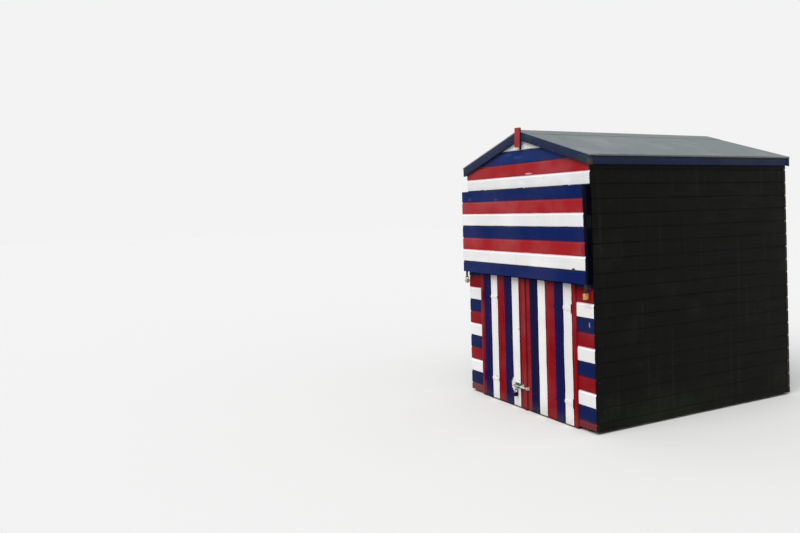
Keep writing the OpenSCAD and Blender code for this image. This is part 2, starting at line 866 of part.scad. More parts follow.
// Body of a laminated padlock: a block with round upright edges, w wide, h high and t thick
module square_lock_body(w, h, t) {
    r = t / 2;
    translate([0, 0, -h]) {
        for (side = [-1, 1])
            translate([side * (w / 2 - r), 0, 0]) cylinder(r = r, h = h);
        translate([r - w / 2, -r, 0]) cube([w - 2 * r, 2 * r, h]);
    }
}

// Body of a disc padlock
module round_lock_body() {
    r = lock_body_w / 2;
    translate([0, lock_body_t / 2, 2 - r]) rotate([90, 0, 0]) cylinder(r = r, h = lock_body_t);
}

module door_left_padlock() {
    color(DARK_STEEL)
        translate([tongue_inset - bolt_reach, door_face_y - bar_out,
                   tongue_hole_z - hasp_hole_r + shackle_r])
            rotate([0, 0, 90]) {
                shackle();
                translate([0, 0, -shackle_span / 2 - shackle_leg])
                    scale(small_lock) square_lock_body(lock_body_w, lock_body_h, lock_body_t);
            }
}

// Hasp hung from the bottom rail of the flap, with its middle at x
module hasp(x) {
    hole_z = shackle_top_z + hasp_hole_r - shackle_r;
    color(DARK_STEEL)
        difference() {
            union() {
                block([x - hasp_w / 2, hasp_y, flap_bottom - hasp_drop],
                      [x + hasp_w / 2, hasp_y + plate_t, flap_bottom - plate_t]);
                block([x - hasp_w / 2, hasp_y - hasp_foot_front, flap_bottom - plate_t],
                      [x + hasp_w / 2, hasp_y + hasp_foot_back, flap_bottom]);
            }
            translate([x, hasp_y + 2 * plate_t, hole_z]) rotate([90, 0, 0])
                cylinder(r = hasp_hole_r, h = 3 * plate_t);
        }
}

module flap_hasps() {
    for (x = lock_places) hasp(x);
}

// Square brass padlock on the right hasp and a disc padlock on the left one
module flap_padlocks() {
    y = hasp_y + plate_t / 2;
    body_drop = shackle_span / 2 + shackle_leg;
    color(BRASS)
        translate([right_lock_x, y, shackle_top_z]) rotate([0, 0, 90])
            translate([0, 0, -body_drop]) square_lock_body(big_lock_w, big_lock_h, big_lock_t);
    color(DARK_STEEL)
        for (x = lock_places)
            translate([x, y, shackle_top_z]) rotate([0, 0, 90]) shackle();
    color(GALVANISED)
        translate([-left_lock_x, y, shackle_top_z]) rotate([0, 0, 90])
            translate([0, 0, -body_drop]) round_lock_body();
}

// Plates on the side panels, each with the loop that the hasp closes over
module flap_staples() {
    z = flap_bottom - staple_drop;
    color(DARK_STEEL)
        for (x = lock_places) {
            block([x - hasp_w / 2, front_y - plate_t, z - 2.5 * staple_r],
                  [x + hasp_w / 2, front_y, z + 1.75 * staple_r]);
            translate([x, front_y - plate_t, z]) rotate([0, 90, 0])
                rotate([0, 0, 180]) rotate_extrude(angle = 180)
                    translate([staple_r, 0]) circle(staple_rod_r, $fn = 24);
        }
}

// Places of the flap hinges along X
flap_hinge_x = spread(-flap_hinge_spread * flap_half_w, flap_hinge_spread * flap_half_w,
                      flap_hinge_l, flap_hinges - 1);

// Fixed half of each flap hinge: plate on the gable, outer knuckles and pin
module flap_hinge_plates() {
    outer = flap_hinge_l / 2;
    inner = flap_hinge_l * flap_middle_share / 2;
    color(GALVANISED)
        for (x = flap_hinge_x) {
            block([x - outer, front_y - plate_t, gable_bottom],
                  [x + outer, front_y, gable_bottom + flap_plate_h]);
            for (side = [-1, 1]) {
                translate([side > 0 ? x + inner : x - outer, flap_axis_y, flap_axis_z]) rotate([0, 90, 0])
                    cylinder(r = flap_knuckle_r, h = outer - inner);
                block([x + side * inner, flap_axis_y, flap_axis_z],
                      [x + side * outer, front_y - plate_t, flap_axis_z + flap_knuckle_r]);
                block([x + side * inner, front_y - plate_t, flap_axis_z],
                      [x + side * outer, front_y, gable_bottom]);
            }
            translate([x - outer, flap_axis_y, flap_axis_z]) rotate([0, 90, 0])
                cylinder(r = flap_pin_r, h = 2 * outer);
        }
}

// Moving half of each flap hinge: middle knuckle and the leaf on top of the flap
module flap_hinge_leaves() {
    inner = flap_hinge_l * flap_middle_share / 2 - knuckle_end_gap;
    color(GALVANISED)
        for (x = flap_hinge_x)
            difference() {
                union() {
                    translate([x - inner, flap_axis_y, flap_axis_z]) rotate([0, 90, 0])
                        cylinder(r = flap_knuckle_r, h = 2 * inner);
                    block([x - inner, flap_axis_y - flap_leaf_l, flap_top],
                          [x + inner, flap_axis_y, flap_top + plate_t]);
                }
                translate([x - flap_hinge_l, flap_axis_y, flap_axis_z]) rotate([0, 90, 0])
                    cylinder(r = flap_pin_r + pin_clearance, h = 2 * flap_hinge_l);
            }
}

// Boards of the flap, navy at the top, then red, white and navy again
module flap_boards() {
    count = 1 + ceil((flap_h - flap_top_board_h) / flap_board_pitch);
    color_order = [NAVY, RED, WHITE];
    for (i = [0:count - 1]) {
        z1 = i == 0 ? flap_top : flap_top - flap_top_board_h - (i - 1) * flap_board_pitch;
        z0 = max(flap_bottom, flap_top - flap_top_board_h - i * flap_board_pitch);
        color(PAINT[color_order[i % 3]])
            along_x(-flap_half_w, flap_half_w)
                translate([flap_face_y, 0]) weatherboard(z0, z1, i > 0);
    }
}

// Rails and uprights behind the flap boards
module flap_frame() {
    color(BARGE_NAVY) {
        for (z = [flap_bottom, flap_top - flap_rail_w])
            block([-flap_half_w, flap_board_y, z], [flap_half_w, flap_back_y, z + flap_rail_w]);
        for (x = spread(-flap_half_w, flap_half_w, flap_rail_w, flap_bays))
            block([x - flap_rail_w / 2, flap_board_y, flap_bottom + flap_rail_w],
                  [x + flap_rail_w / 2, flap_back_y, flap_top - flap_rail_w]);
    }
}

bearers();
floor_boards();
front_sill();
front_posts();
front_header();
front_gable_frame();
left_frame();
right_frame();
back_frame();
back_gable_frame();
left_wall_boards();
right_wall_boards();
back_wall_boards();
front_panel_left();
front_panel_right();
front_gable_boards();
post_facings();
ridge_beam_timber();
purlins();
roof_boards_left();
roof_boards_right();
roof_felt();
bargeboards_front();
bargeboards_back();
eaves_board_left();
eaves_board_right();
finial();
door_hinge_plates();
flap_hinge_plates();
flap_staples();
door_left_boards();
door_left_ledges();
door_left_cover_strip();
door_left_straps();
door_left_bolt();
door_left_padlock();
door_right_boards();
door_right_ledges();
door_right_straps();
door_right_keeper();
flap_boards();
flap_frame();
flap_hinge_leaves();
flap_hasps();
flap_padlocks();
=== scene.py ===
"""Looks of the striped beach hut, dressed over its packed construction model.

Metres in the hut's own frame: X runs across the front, Y from front to back and Z up. The origin is
on the ground at the middle of the footprint, and the front faces -Y.
"""

import logging
import math
from contextlib import contextmanager
from dataclasses import dataclass, field
from enum import Enum
from typing import Callable, Iterable, Iterator, Optional, Sequence, Union

import bmesh
import bpy
from mathutils import Matrix, Vector, noise


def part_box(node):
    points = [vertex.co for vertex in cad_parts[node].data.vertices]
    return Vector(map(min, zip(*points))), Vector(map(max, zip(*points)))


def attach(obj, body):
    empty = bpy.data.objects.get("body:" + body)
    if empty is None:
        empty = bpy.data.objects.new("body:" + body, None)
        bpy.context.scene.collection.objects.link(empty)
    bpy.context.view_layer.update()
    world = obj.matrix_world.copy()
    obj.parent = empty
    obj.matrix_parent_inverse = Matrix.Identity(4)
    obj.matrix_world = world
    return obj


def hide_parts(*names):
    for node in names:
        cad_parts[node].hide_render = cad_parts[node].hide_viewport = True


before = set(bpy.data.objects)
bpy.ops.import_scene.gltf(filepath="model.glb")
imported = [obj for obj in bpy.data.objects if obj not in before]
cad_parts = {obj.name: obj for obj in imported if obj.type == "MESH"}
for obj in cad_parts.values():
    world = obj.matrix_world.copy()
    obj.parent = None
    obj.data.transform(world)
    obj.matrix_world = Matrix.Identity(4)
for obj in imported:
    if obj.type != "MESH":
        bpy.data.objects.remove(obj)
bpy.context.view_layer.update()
LOG = logging.getLogger("beach_hut")

Mesh = bpy.types.Mesh
Node = bpy.types.Node
Piece = bpy.types.Object
Colour = Union[str, Node]
Section = list[tuple[float, float, float]]
Axes = tuple[Sequence[float], Sequence[float], Sequence[float]]

MM = 0.001

# Sizes that the construction model fixes and the looks repeat
HALF_W = 0.900
FRONT_Y = -1.200
BACK_Y = 1.200
WALL_T = 16 * MM
BOARD_PITCH = 0.120
FIRST_JOINT_Z = 0.090
BOARDS_BOTTOM = 0.018
DOOR_TOP = 1.192
GABLE_BOTTOM = 2.010
GABLE_JOINT_Z = 2.119
GABLE_PITCH = 0.117
RIDGE_Z = 2.52587
SLOPE = 0.30764
ROOF_BOARD_DROP = 12.6 * MM
LEFT_BOARD_W = 0.110833
RIGHT_BOARD_W = 0.113
FLAP_TOP = 2.000
FLAP_BOTTOM = 1.208
FLAP_PITCH = 0.1165
FLAP_TOP_BOARD = 0.101

# Heights of the two nails in a wall board over its lower edge, and the lowest that any nail sits
NAILS_UP = (0.028, 0.082)
LOWEST_NAIL = 0.04
# How far under the roof boards the highest nail stays
NAIL_UNDER_ROOF = 0.115
# How far the front of a board dips where its ends are worn
END_DIP = 1.2 * MM
# Least angle in degrees of an edge that planing and paint have rounded
ROUNDED_EDGE = 40.0

ACROSS = (1, 0, 0)
INWARD = (0, 1, 0)
UP = (0, 0, 1)
DOWN = (0, 0, -1)
OUT = (0, -1, 0)
# Directions of the boards on the front: along them, into the wall, and on to the next board
FRONT_AXES = (ACROSS, INWARD, UP)


def roof_z(x: float, drop: float = 0.0) -> float:
    """Height of the top of the roof boards at a distance from the middle, less an upright drop."""
    return RIDGE_Z - abs(x) * SLOPE - drop


def linear(hex_code: str) -> tuple[float, float, float, float]:
    """Turn an sRGB hex colour into the linear RGBA that Blender's sockets take."""
    channels = (int(hex_code[i : i + 2], 16) / 255 for i in (1, 3, 5))
    return (*(c / 12.92 if c <= 0.04045 else ((c + 0.055) / 1.055) ** 2.4 for c in channels), 1.0)


class Kind(Enum):
    """Nodes that the trees are wired from: Blender's type, and the settings that it takes here."""

    COORDINATES = ("ShaderNodeTexCoord", {})
    SPLIT = ("ShaderNodeSeparateXYZ", {})
    WEAR = ("ShaderNodeAttribute", {"attribute_name": "wear"})
    NOISE = ("ShaderNodeTexNoise", {})
    DRIFTING_NOISE = ("ShaderNodeTexNoise", {"noise_dimensions": "4D"})
    CELLS = ("ShaderNodeTexVoronoi", {})
    SPAN = ("ShaderNodeMapRange", {"interpolation_type": "SMOOTHSTEP"})
    RAMP = ("ShaderNodeMapRange", {})
    COVER = ("ShaderNodeMix", {"data_type": "RGBA"})
    FADE = ("ShaderNodeHueSaturation", {})
    RELIEF = ("ShaderNodeBump", {})
    SURFACE = ("ShaderNodeBsdfPrincipled", {})
    MATERIAL = ("ShaderNodeOutputMaterial", {})
    RAY = ("ShaderNodeLightPath", {})
    GLOW = ("ShaderNodeBackground", {})
    EITHER = ("ShaderNodeMixShader", {})
    WORLD = ("ShaderNodeOutputWorld", {})

    SUM = ("ShaderNodeMath", {"operation": "ADD"})
    DIFFERENCE = ("ShaderNodeMath", {"operation": "SUBTRACT"})
    PRODUCT = ("ShaderNodeMath", {"operation": "MULTIPLY"})
    QUOTIENT = ("ShaderNodeMath", {"operation": "DIVIDE"})
    REMAINDER = ("ShaderNodeMath", {"operation": "FLOORED_MODULO"})
    SCALED_SUM = ("ShaderNodeMath", {"operation": "MULTIPLY_ADD"})
    PAST = ("ShaderNodeMath", {"operation": "GREATER_THAN"})
    LARGER = ("ShaderNodeMath", {"operation": "MAXIMUM"})
    UNSIGNED = ("ShaderNodeMath", {"operation": "ABSOLUTE"})
    STRETCH = ("ShaderNodeVectorMath", {"operation": "MULTIPLY"})
    SHIFT = ("ShaderNodeVectorMath", {"operation": "SUBTRACT"})
    SCALE = ("ShaderNodeVectorMath", {"operation": "SCALE"})
    LENGTH = ("ShaderNodeVectorMath", {"operation": "LENGTH"})

    GIVEN = ("NodeGroupInput", {})
    RESULT = ("NodeGroupOutput", {})
    LINE = ("GeometryNodeMeshLine", {})
    ON_POINTS = ("GeometryNodeInstanceOnPoints", {})
    MOVE = ("GeometryNodeTranslateInstances", {})
    TURN = ("GeometryNodeRotateInstances", {})
    REAL = ("GeometryNodeRealizeInstances", {})
    POSITION = ("GeometryNodeInputPosition", {})
    PUSH = ("GeometryNodeSetPosition", {})
    DRESS = ("GeometryNodeSetMaterial", {})
    OBJECT = ("GeometryNodeObjectInfo", {})
    FACE_ALONG = ("FunctionNodeAlignEulerToVector", {"axis": "Z"})
    ANY_VECTOR = ("FunctionNodeRandomValue", {"data_type": "FLOAT_VECTOR"})
    ANY_NUMBER = ("FunctionNodeRandomValue", {"data_type": "FLOAT"})
    CHANCE = ("FunctionNodeRandomValue", {"data_type": "BOOLEAN"})
    READ_VECTOR = ("GeometryNodeInputNamedAttribute", {"data_type": "FLOAT_VECTOR"})
    READ_MARK = ("GeometryNodeInputNamedAttribute", {"data_type": "BOOLEAN"})
    MARK = ("GeometryNodeStoreNamedAttribute", {"data_type": "BOOLEAN", "domain": "INSTANCE"})


def add(tree: bpy.types.NodeTree, kind: Kind, *values: object, **named: object) -> Node:
    """Add one node to a tree, with its settings and links.

    Args:
        tree: Shader or geometry tree.
        kind: The node and its settings.
        values: What goes into the inputs that it shows, in their order: a value, a socket, or a node
            for the first output that it shows.
        named: The same for inputs by name, with underscores for spaces.

    Returns:
        The new node.
    """
    type_name, settings = kind.value
    node = tree.nodes.new(type_name)
    for key, value in settings.items():
        setattr(node, key, value)
    shown = [socket for socket in node.inputs if socket.enabled]
    pairs = [*zip(shown, values), *((node.inputs[key.replace("_", " ")], named[key]) for key in named)]
    for socket, value in pairs:
        if isinstance(value, Node):
            value = next(output for output in value.outputs if output.enabled)
        if isinstance(value, bpy.types.NodeSocket):
            tree.links.new(value, socket)
        else:
            socket.default_value = value
    return node


def seen_directly(tree: bpy.types.NodeTree) -> Node:
    """Wire a switch between what the camera sees and what other light meets.

    Args:
        tree: Tree of a material or the world.

    Returns:
        The node, which gives 1 for the camera, also in a mirror or through glass, and 0 otherwise.
    """
    ray = add(tree, Kind.RAY).outputs
    mirrored = add(tree, Kind.LARGER, ray["Is Glossy Ray"], ray["Is Transmission Ray"])
    return add(tree, Kind.LARGER, ray["Is Camera Ray"], mirrored)


class Axis(Enum):
    """The axis that the length of a board follows, by its number."""

    X = 0
    Y = 1
    Z = 2

    def order(self, along: float, deep: float, wide: float) -> tuple[float, float, float]:
        """Put three values of a board in the order X, Y and Z."""
        return ((along, deep, wide), (deep, along, wide), (wide, deep, along))[self.value]


class Side(Enum):
    """Left or right as seen from in front, by its sign along X."""

    LEFT = -1
    RIGHT = 1

    @property
    def label(self) -> str:
        """The word for it in the names of pieces."""
        return self.name.lower()


@dataclass
class ShaderDraft:
    """A new material that is being wired, with its coordinates at hand."""

    name: str

    def __post_init__(self) -> None:
        """Start the material with its coordinates."""
        self.material = bpy.data.materials.new(self.name)
        self.material.use_nodes = True
        self.tree = self.material.node_tree
        self.tree.nodes.clear()
        read = self.wire(Kind.COORDINATES)
        self.coords = read.outputs["Object"]
        self.places = self.wire(Kind.SPLIT, self.coords).outputs
        self.facing = self.wire(Kind.SPLIT, read.outputs["Normal"]).outputs

    def wire(self, kind: Kind, *values: object, **named: object) -> Node:
        """Add one node to the material."""
        return add(self.tree, kind, *values, **named)

    def grain(self, scale: Sequence[float], detail: float = 3.0, twist: float = 0.0) -> Node:
        """Noise on object coordinates that are scaled by a different number along each axis.

        Args:
            scale: Features a metre along X, Y and Z.
            detail: Octaves of the noise.
            twist: Distortion of the noise.

        Returns:
            The noise node.
        """
        stretched = self.wire(Kind.STRETCH, self.coords, tuple(scale))
        return self.wire(Kind.NOISE, Vector=stretched, Scale=1.0, Detail=detail, Distortion=twist)

    def layer(
        self, under: Colour, over: str, pattern: object, low: float, high: float, shares: tuple = (0, 1)
    ) -> Node:
        """Lay a colour over another one where a pattern passes from one value to another.

        Args:
            under: What it covers, as a hex colour or a node.
            over: Hex colour of the layer.
            pattern: Node or socket of the pattern.
            low: Value of the pattern at which the layer has its first share.
            high: Value of the pattern at which the layer has its last share.
            shares: Its first and last share of the colour.

        Returns:
            The node that gives the new colour.
        """
        share = self.wire(Kind.SPAN, pattern, low, high, *shares)
        return self.wire(Kind.COVER, share, linear(under) if isinstance(under, str) else under, linear(over))

    def finish(
        self, height: Optional[Node], depth: float, strength: float, **sockets: object
    ) -> bpy.types.Material:
        """Close the material with its shader.

        Args:
            height: Pattern of the relief, if it has one.
            depth: Real depth of the relief in metres.
            strength: How much of that depth shows.
            sockets: What goes into the shader, by socket.

        Returns:
            The material.
        """
        if height:
            sockets["Normal"] = self.wire(Kind.RELIEF, Height=height, Distance=depth, Strength=strength)
        self.wire(Kind.MATERIAL, Surface=self.wire(Kind.SURFACE, **sockets))
        return self.material


class Paint(Enum):
    """Colours of the paint and stain on the boards."""

    RED = "#a32b30"
    # The darker red and the two darker navies go on the panels, doors and trim under the flap. They are
    # copies of the flap's red and navy, partly a newer, darker paint and partly painted shade.
    DEEP_RED = "#871a21"
    NAVY = "#10215a"
    PANEL_NAVY = "#101f4e"
    DEEP_NAVY = "#111247"
    FADED_NAVY = "#1d3169"
    WHITE = "#eeeeef"
    BARGE = "#28304a"
    CHEEK = "#030410"
    STAIN = "#0f100f"


@dataclass(frozen=True)
class Stripes:
    """Three colours in bands along one axis.

    Attributes:
        axis: X for upright bands or Z for level ones.
        start: Place of the lower edge of a first band, in metres.
        width: Width of one board, or a third of the three bands together.
        order: The colours, counted from that edge.
        edges: Where the second and the third colour start, in boards.
    """

    axis: Axis
    start: float
    width: float
    order: tuple[Paint, Paint, Paint]
    edges: tuple[float, float] = (1.0, 2.0)


@dataclass(frozen=True)
class Blot:
    """A mark in the paint, by its middle and its size on the front, in metres."""

    x: float
    z: float
    width: float
    height: float
    colour: str


@dataclass(frozen=True)
class Wrap:
    """Darker paint on the ends of the boards, carried round the right-hand corner onto their face.

    Attributes:
        low: Height and X of the edge of that paint at its lower end, in metres.
        high: The same at its upper end.
        colour: Its colour.
    """

    low: tuple[float, float]
    high: tuple[float, float]
    colour: Paint


@dataclass(frozen=True)
class Paintwork:
    """Exterior gloss paint, brushed by hand over planed softwood.

    It shows brush marks along the boards, edges that wander where two colours meet, chips along the
    arrises down to grey wood, faint rain streaks and sand thrown up near the ground.

    Attributes:
        name: Name of the material.
        colour: Its colour, where it has no stripes.
        stripes: Its stripes.
        brush: Axis that the brush marks follow.
        wander: How far the edge of a stripe wanders, in metres.
        shift: How far the stripes are moved, in metres.
        blots: Marks in the paint.
        wrap: Darker paint round the right-hand corner.
        chips: Share of the surface that has chipped, over what every edge loses.
        roughness: Roughness of the glossiest paint.
        fading: Share of its colour that it keeps where it has faded least and most.
        gloss: Specular level, low because salt and sun have dulled the paint.
    """

    name: str
    colour: Paint = Paint.RED
    stripes: Optional[Stripes] = None
    brush: Axis = Axis.X
    wander: float = 9.0 * MM
    shift: float = 0.0
    blots: tuple[Blot, ...] = ()
    wrap: Optional[Wrap] = None
    chips: float = 0.0
    roughness: float = 0.42
    fading: tuple[float, float] = (1.03, 0.93)
    gloss: float = 0.045

    def striped(self, draft: ShaderDraft) -> Node:
        """Wire the bands of colour, with edges that wander as a brush does.

        Args:
            draft: The material.

        Returns:
            The node that gives the colour.
        """
        bands = self.stripes
        start = self.shift - bands.start - self.wander * 0.75
        wide = draft.wire(Kind.SCALED_SUM, draft.grain((5.5, 5.5, 5.5), 1.0), self.wander, start)
        drift = draft.wire(Kind.SCALED_SUM, draft.grain((38, 38, 38), 2.0), self.wander * 0.5, wide)
        place = draft.wire(Kind.SUM, draft.places[bands.axis.value], drift)
        turn = draft.wire(Kind.REMAINDER, draft.wire(Kind.QUOTIENT, place, bands.width), 3.0)
        colour = linear(bands.order[0].value)
        for edge, paint in zip(bands.edges, bands.order[1:]):
            past = draft.wire(Kind.PAST, turn, edge)
            colour = draft.wire(Kind.COVER, past, colour, linear(paint.value))
        return colour

    def blotted(self, draft: ShaderDraft, colour: Node) -> Node:
        """Cover the paint with its ragged marks.

        Args:
            draft: The material.
            colour: Colour under the marks.

        Returns:
            The node that gives the colour.
        """
        edge = draft.grain((70, 70, 70), 3.0)
        for blot in self.blots:
            away = draft.wire(Kind.SHIFT, draft.coords, (blot.x, 0, blot.z))
            sized = draft.wire(Kind.STRETCH, away, (2 / blot.width, 0, 2 / blot.height))
            ragged = draft.wire(Kind.SCALED_SUM, edge, 1.1, draft.wire(Kind.LENGTH, sized))
            colour = draft.layer(colour, blot.colour, ragged, 1.35, 1.65, (1, 0))
        return colour

    def wrapped(self, draft: ShaderDraft, colour: Node) -> Node:
        """Cover the ends of the boards, and the face up to a slanting edge, with the darker paint.

        Args:
            draft: The material.
            colour: Colour under that paint.

        Returns:
            The node that gives the colour.
        """
        (low_z, low_x), (high_z, high_x) = self.wrap.low, self.wrap.high
        edge = draft.wire(Kind.RAMP, draft.places["Z"], low_z, high_z, low_x, high_x)
        ragged = draft.wire(Kind.SCALED_SUM, draft.grain((30, 30, 30), 3.0), 8 * MM, edge)
        past = draft.wire(Kind.DIFFERENCE, draft.places["X"], ragged)
        on_face = draft.wire(Kind.SPAN, past, 3 * MM, 5 * MM, 0, 1)
        sideways = draft.wire(Kind.UNSIGNED, draft.facing["X"])
        on_end = draft.wire(Kind.SPAN, sideways, 0.6, 0.8, 0, 1)
        either = draft.wire(Kind.LARGER, on_face, on_end)
        return draft.wire(Kind.COVER, either, colour, linear(self.wrap.colour.value))

    def build(self) -> bpy.types.Material:
        """Wire the material.

        Returns:
            The material.
        """
        draft = ShaderDraft(self.name)
        # Brush marks are 5 to 11 mm apart and 330 mm long. The wood under them has a grain of 1 to 3 mm,
        # which is drawn three times as coarse as the brush marks, so that it shows.
        along = self.brush.order(3, 90, 220)
        brush = draft.grain(along, 2.0)
        grain = draft.grain([value * 0.32 for value in along], 4.0, 0.6)
        # Faded patches of 0.4 m, rain streaks of 30 mm by 0.9 m, and chips of 10 mm
        patches = draft.grain((2.6, 2.6, 2.6), 3.0)
        rain = draft.grain((34, 34, 1.1), 3.0)
        spots = draft.grain((95, 95, 95), 4.0)
        worn = draft.wire(Kind.WEAR).outputs["Fac"]
        height = draft.places["Z"]

        faded = draft.wire(
            Kind.FADE,
            Color=self.striped(draft) if self.stripes else linear(self.colour.value),
            Saturation=draft.wire(Kind.SPAN, patches, 0.35, 0.68, *self.fading),
            Value=draft.wire(Kind.SPAN, patches, 0.32, 0.7, 0.95, 1.07),
        )
        marked = self.blotted(draft, draft.layer(faded, "#4d4b45", rain, 0.54, 0.8, (0, 0.07)))
        edge = draft.wire(Kind.SCALED_SUM, worn, 0.13, spots)
        chip = draft.wire(Kind.SPAN, edge, 0.735 - self.chips, 0.755 - self.chips, 0, 1)
        bare = draft.layer("#8b8272", "#5f574b", grain, 0.4, 0.6)
        chipped = draft.wire(Kind.COVER, chip, marked, bare)
        if self.wrap:
            chipped = self.wrapped(draft, chipped)
        near_ground = draft.wire(Kind.SPAN, height, 0.01, 0.13, 0.42, 0)
        sand = draft.wire(Kind.PRODUCT, near_ground, draft.wire(Kind.SPAN, spots, 0.38, 0.68, 0.08, 0.8))
        sandy = draft.wire(Kind.COVER, sand, chipped, linear("#6f6558"))
        ridges = draft.wire(Kind.SCALED_SUM, grain, 1.6, brush)
        return draft.finish(
            draft.wire(Kind.SCALED_SUM, chip, -1.5, ridges), 0.45 * MM, 0.8,
            # The lowest 8 to 22 mm of each board is painted almost black: painted shade of the gap under the
            # boards
            Base_Color=draft.layer(sandy, "#100d0b", height, 0.008, 0.022, (0.9, 0)),
            Roughness=draft.wire(Kind.SPAN, brush, 0.3, 0.75, self.roughness - 0.06, self.roughness + 0.2),
            IOR=1.5,
            Specular_IOR_Level=self.gloss,
        )


@dataclass(frozen=True)
class BlackStain:
    """Black bitumen stain on sawn weatherboards: matt, with open grain and grey where it has worn.

    Attributes:
        name: Name of the material.
        along: Axis that the length of the boards follows.
    """

    name: str
    along: Axis

    def build(self) -> bpy.types.Material:
        """Wire the material.

        Returns:
            The material.
        """
        draft = ShaderDraft(self.name)
        # Grain 7 to 12 mm apart and 450 mm long, coarser than the real 2 to 4 mm so that it shows
        grain = draft.grain(self.along.order(2.2, 80, 150), 5.0, 0.8)
        # Worn patches of 0.3 m, rain streaks of 40 mm by 1.1 m, and chips of 14 mm
        patches = draft.grain((3.1, 3.1, 3.1), 4.0)
        rain = draft.grain((26, 26, 0.9), 4.0)
        spots = draft.grain((70, 70, 70), 4.0)
        worn = draft.wire(Kind.WEAR).outputs["Fac"]
        base = draft.layer("#080908", "#131310", grain, 0.42, 0.66)
        grey = draft.layer(base, "#1e1f1b", patches, 0.5, 0.72, (0, 0.5))
        streaked = draft.layer(grey, "#282a24", rain, 0.55, 0.8, (0, 0.45))
        edge = draft.wire(Kind.SCALED_SUM, worn, 0.15, spots)
        chipped = draft.layer(streaked, "#4d4a41", edge, 0.76, 0.80, (0, 0.5))
        near_ground = draft.wire(Kind.SPAN, draft.places["Z"], 0.02, 0.42, 0.5, 0)
        algae = draft.wire(Kind.PRODUCT, near_ground, draft.wire(Kind.SPAN, patches, 0.35, 0.65, 0.15, 0.9))
        return draft.finish(
            grain, 0.5 * MM, 0.6,
            Base_Color=draft.wire(Kind.COVER, algae, chipped, linear("#22271a")),
            Roughness=draft.wire(Kind.SPAN, grain, 0.35, 0.65, 0.5, 0.78),
            IOR=1.5,
            Specular_IOR_Level=0.07,
        )


@dataclass(frozen=True)
class SawnTimber:
    """Softwood that was never painted: sawn faces with growth rings, knots and a little dust.

    Attributes:
        name: Name of the material.
        along: Axis that the length of the timber follows.
        light: Colour of the early wood.
        dark: Colour of the late wood.
        ring: Distance between growth rings on a face, in metres.
    """

    name: str
    along: Axis
    light: str = "#b39a76"
    dark: str = "#8d7250"
    ring: float = 9.0 * MM

    def build(self) -> bpy.types.Material:
        """Wire the material.

        Returns:
            The material.
        """
        draft = ShaderDraft(self.name)
        # Rings that run on for a metre, fibres of 2 mm, and a knot in each cell of 90 mm by 0.4 m
        across = 1 / self.ring
        scale = self.along.order(across * 0.018, across, across)
        rings = draft.grain([value * 0.5 for value in scale], 2.0, 1.4)
        fibres = draft.grain([value * 4.5 for value in scale], 3.0)
        patches = draft.grain((4, 4, 4), 3.0)
        near_knot = draft.wire(Kind.STRETCH, draft.coords, self.along.order(2.4, 11, 11))
        knots = draft.wire(Kind.CELLS, Vector=near_knot, Scale=1.0, Randomness=1.0)
        base = draft.layer(self.light, self.dark, rings, 0.38, 0.62, (0.05, 0.85))
        streaked = draft.layer(base, self.dark, fibres, 0.45, 0.7, (0, 0.4))
        aged = draft.layer(streaked, "#7c7363", patches, 0.4, 0.7, (0.08, 0.42))
        return draft.finish(
            draft.wire(Kind.SCALED_SUM, fibres, 0.5, rings), 0.6 * MM, 0.8,
            Base_Color=draft.layer(aged, "#4d3722", knots, 0.05, 0.13, (0.85, 0)),
            Roughness=draft.wire(Kind.SPAN, fibres, 0.3, 0.7, 0.62, 0.82),
            IOR=1.5,
            Specular_IOR_Level=0.3,
        )


@dataclass(frozen=True)
class MineralFelt:
    """Bitumen roofing felt with green mineral chippings, rough and without gloss.

    The chippings are about 1 mm. They are drawn at about 4 mm, so that they show in the render.
    """

    name: str

    def build(self) -> bpy.types.Material:
        """Wire the material.

        Returns:
            The material.
        """
        draft = ShaderDraft(self.name)
        # Over the chippings: mottling of 17 mm, bleached patches of 0.45 m, and streaks down the slope
        # of 70 mm by 0.5 m
        chippings = draft.grain((260, 260, 260), 2.0)
        base = draft.layer("#7b8183", "#666e6c", chippings, 0.38, 0.62)
        mottled = draft.layer(base, "#59625c", draft.grain((60, 60, 60), 4.0), 0.5, 0.75, (0, 0.5))
        faded = draft.layer(mottled, "#888b8a", draft.grain((2.2, 2.2, 2.2), 4.0), 0.48, 0.72, (0, 0.55))
        dirty = draft.layer(faded, "#50564c", draft.grain((2.0, 14, 14), 3.0), 0.55, 0.8, (0, 0.4))
        return draft.finish(
            chippings, 0.8 * MM, 0.7,
            # Faces of the felt that turn to the front are painted paler and bluer: painted sky light on its
            # folded front edge
            Base_Color=draft.layer(dirty, "#858a9b", draft.facing["Y"], -0.9, -0.5, (0.8, 0)),
            Roughness=0.93,
            Specular_IOR_Level=0.2,
        )


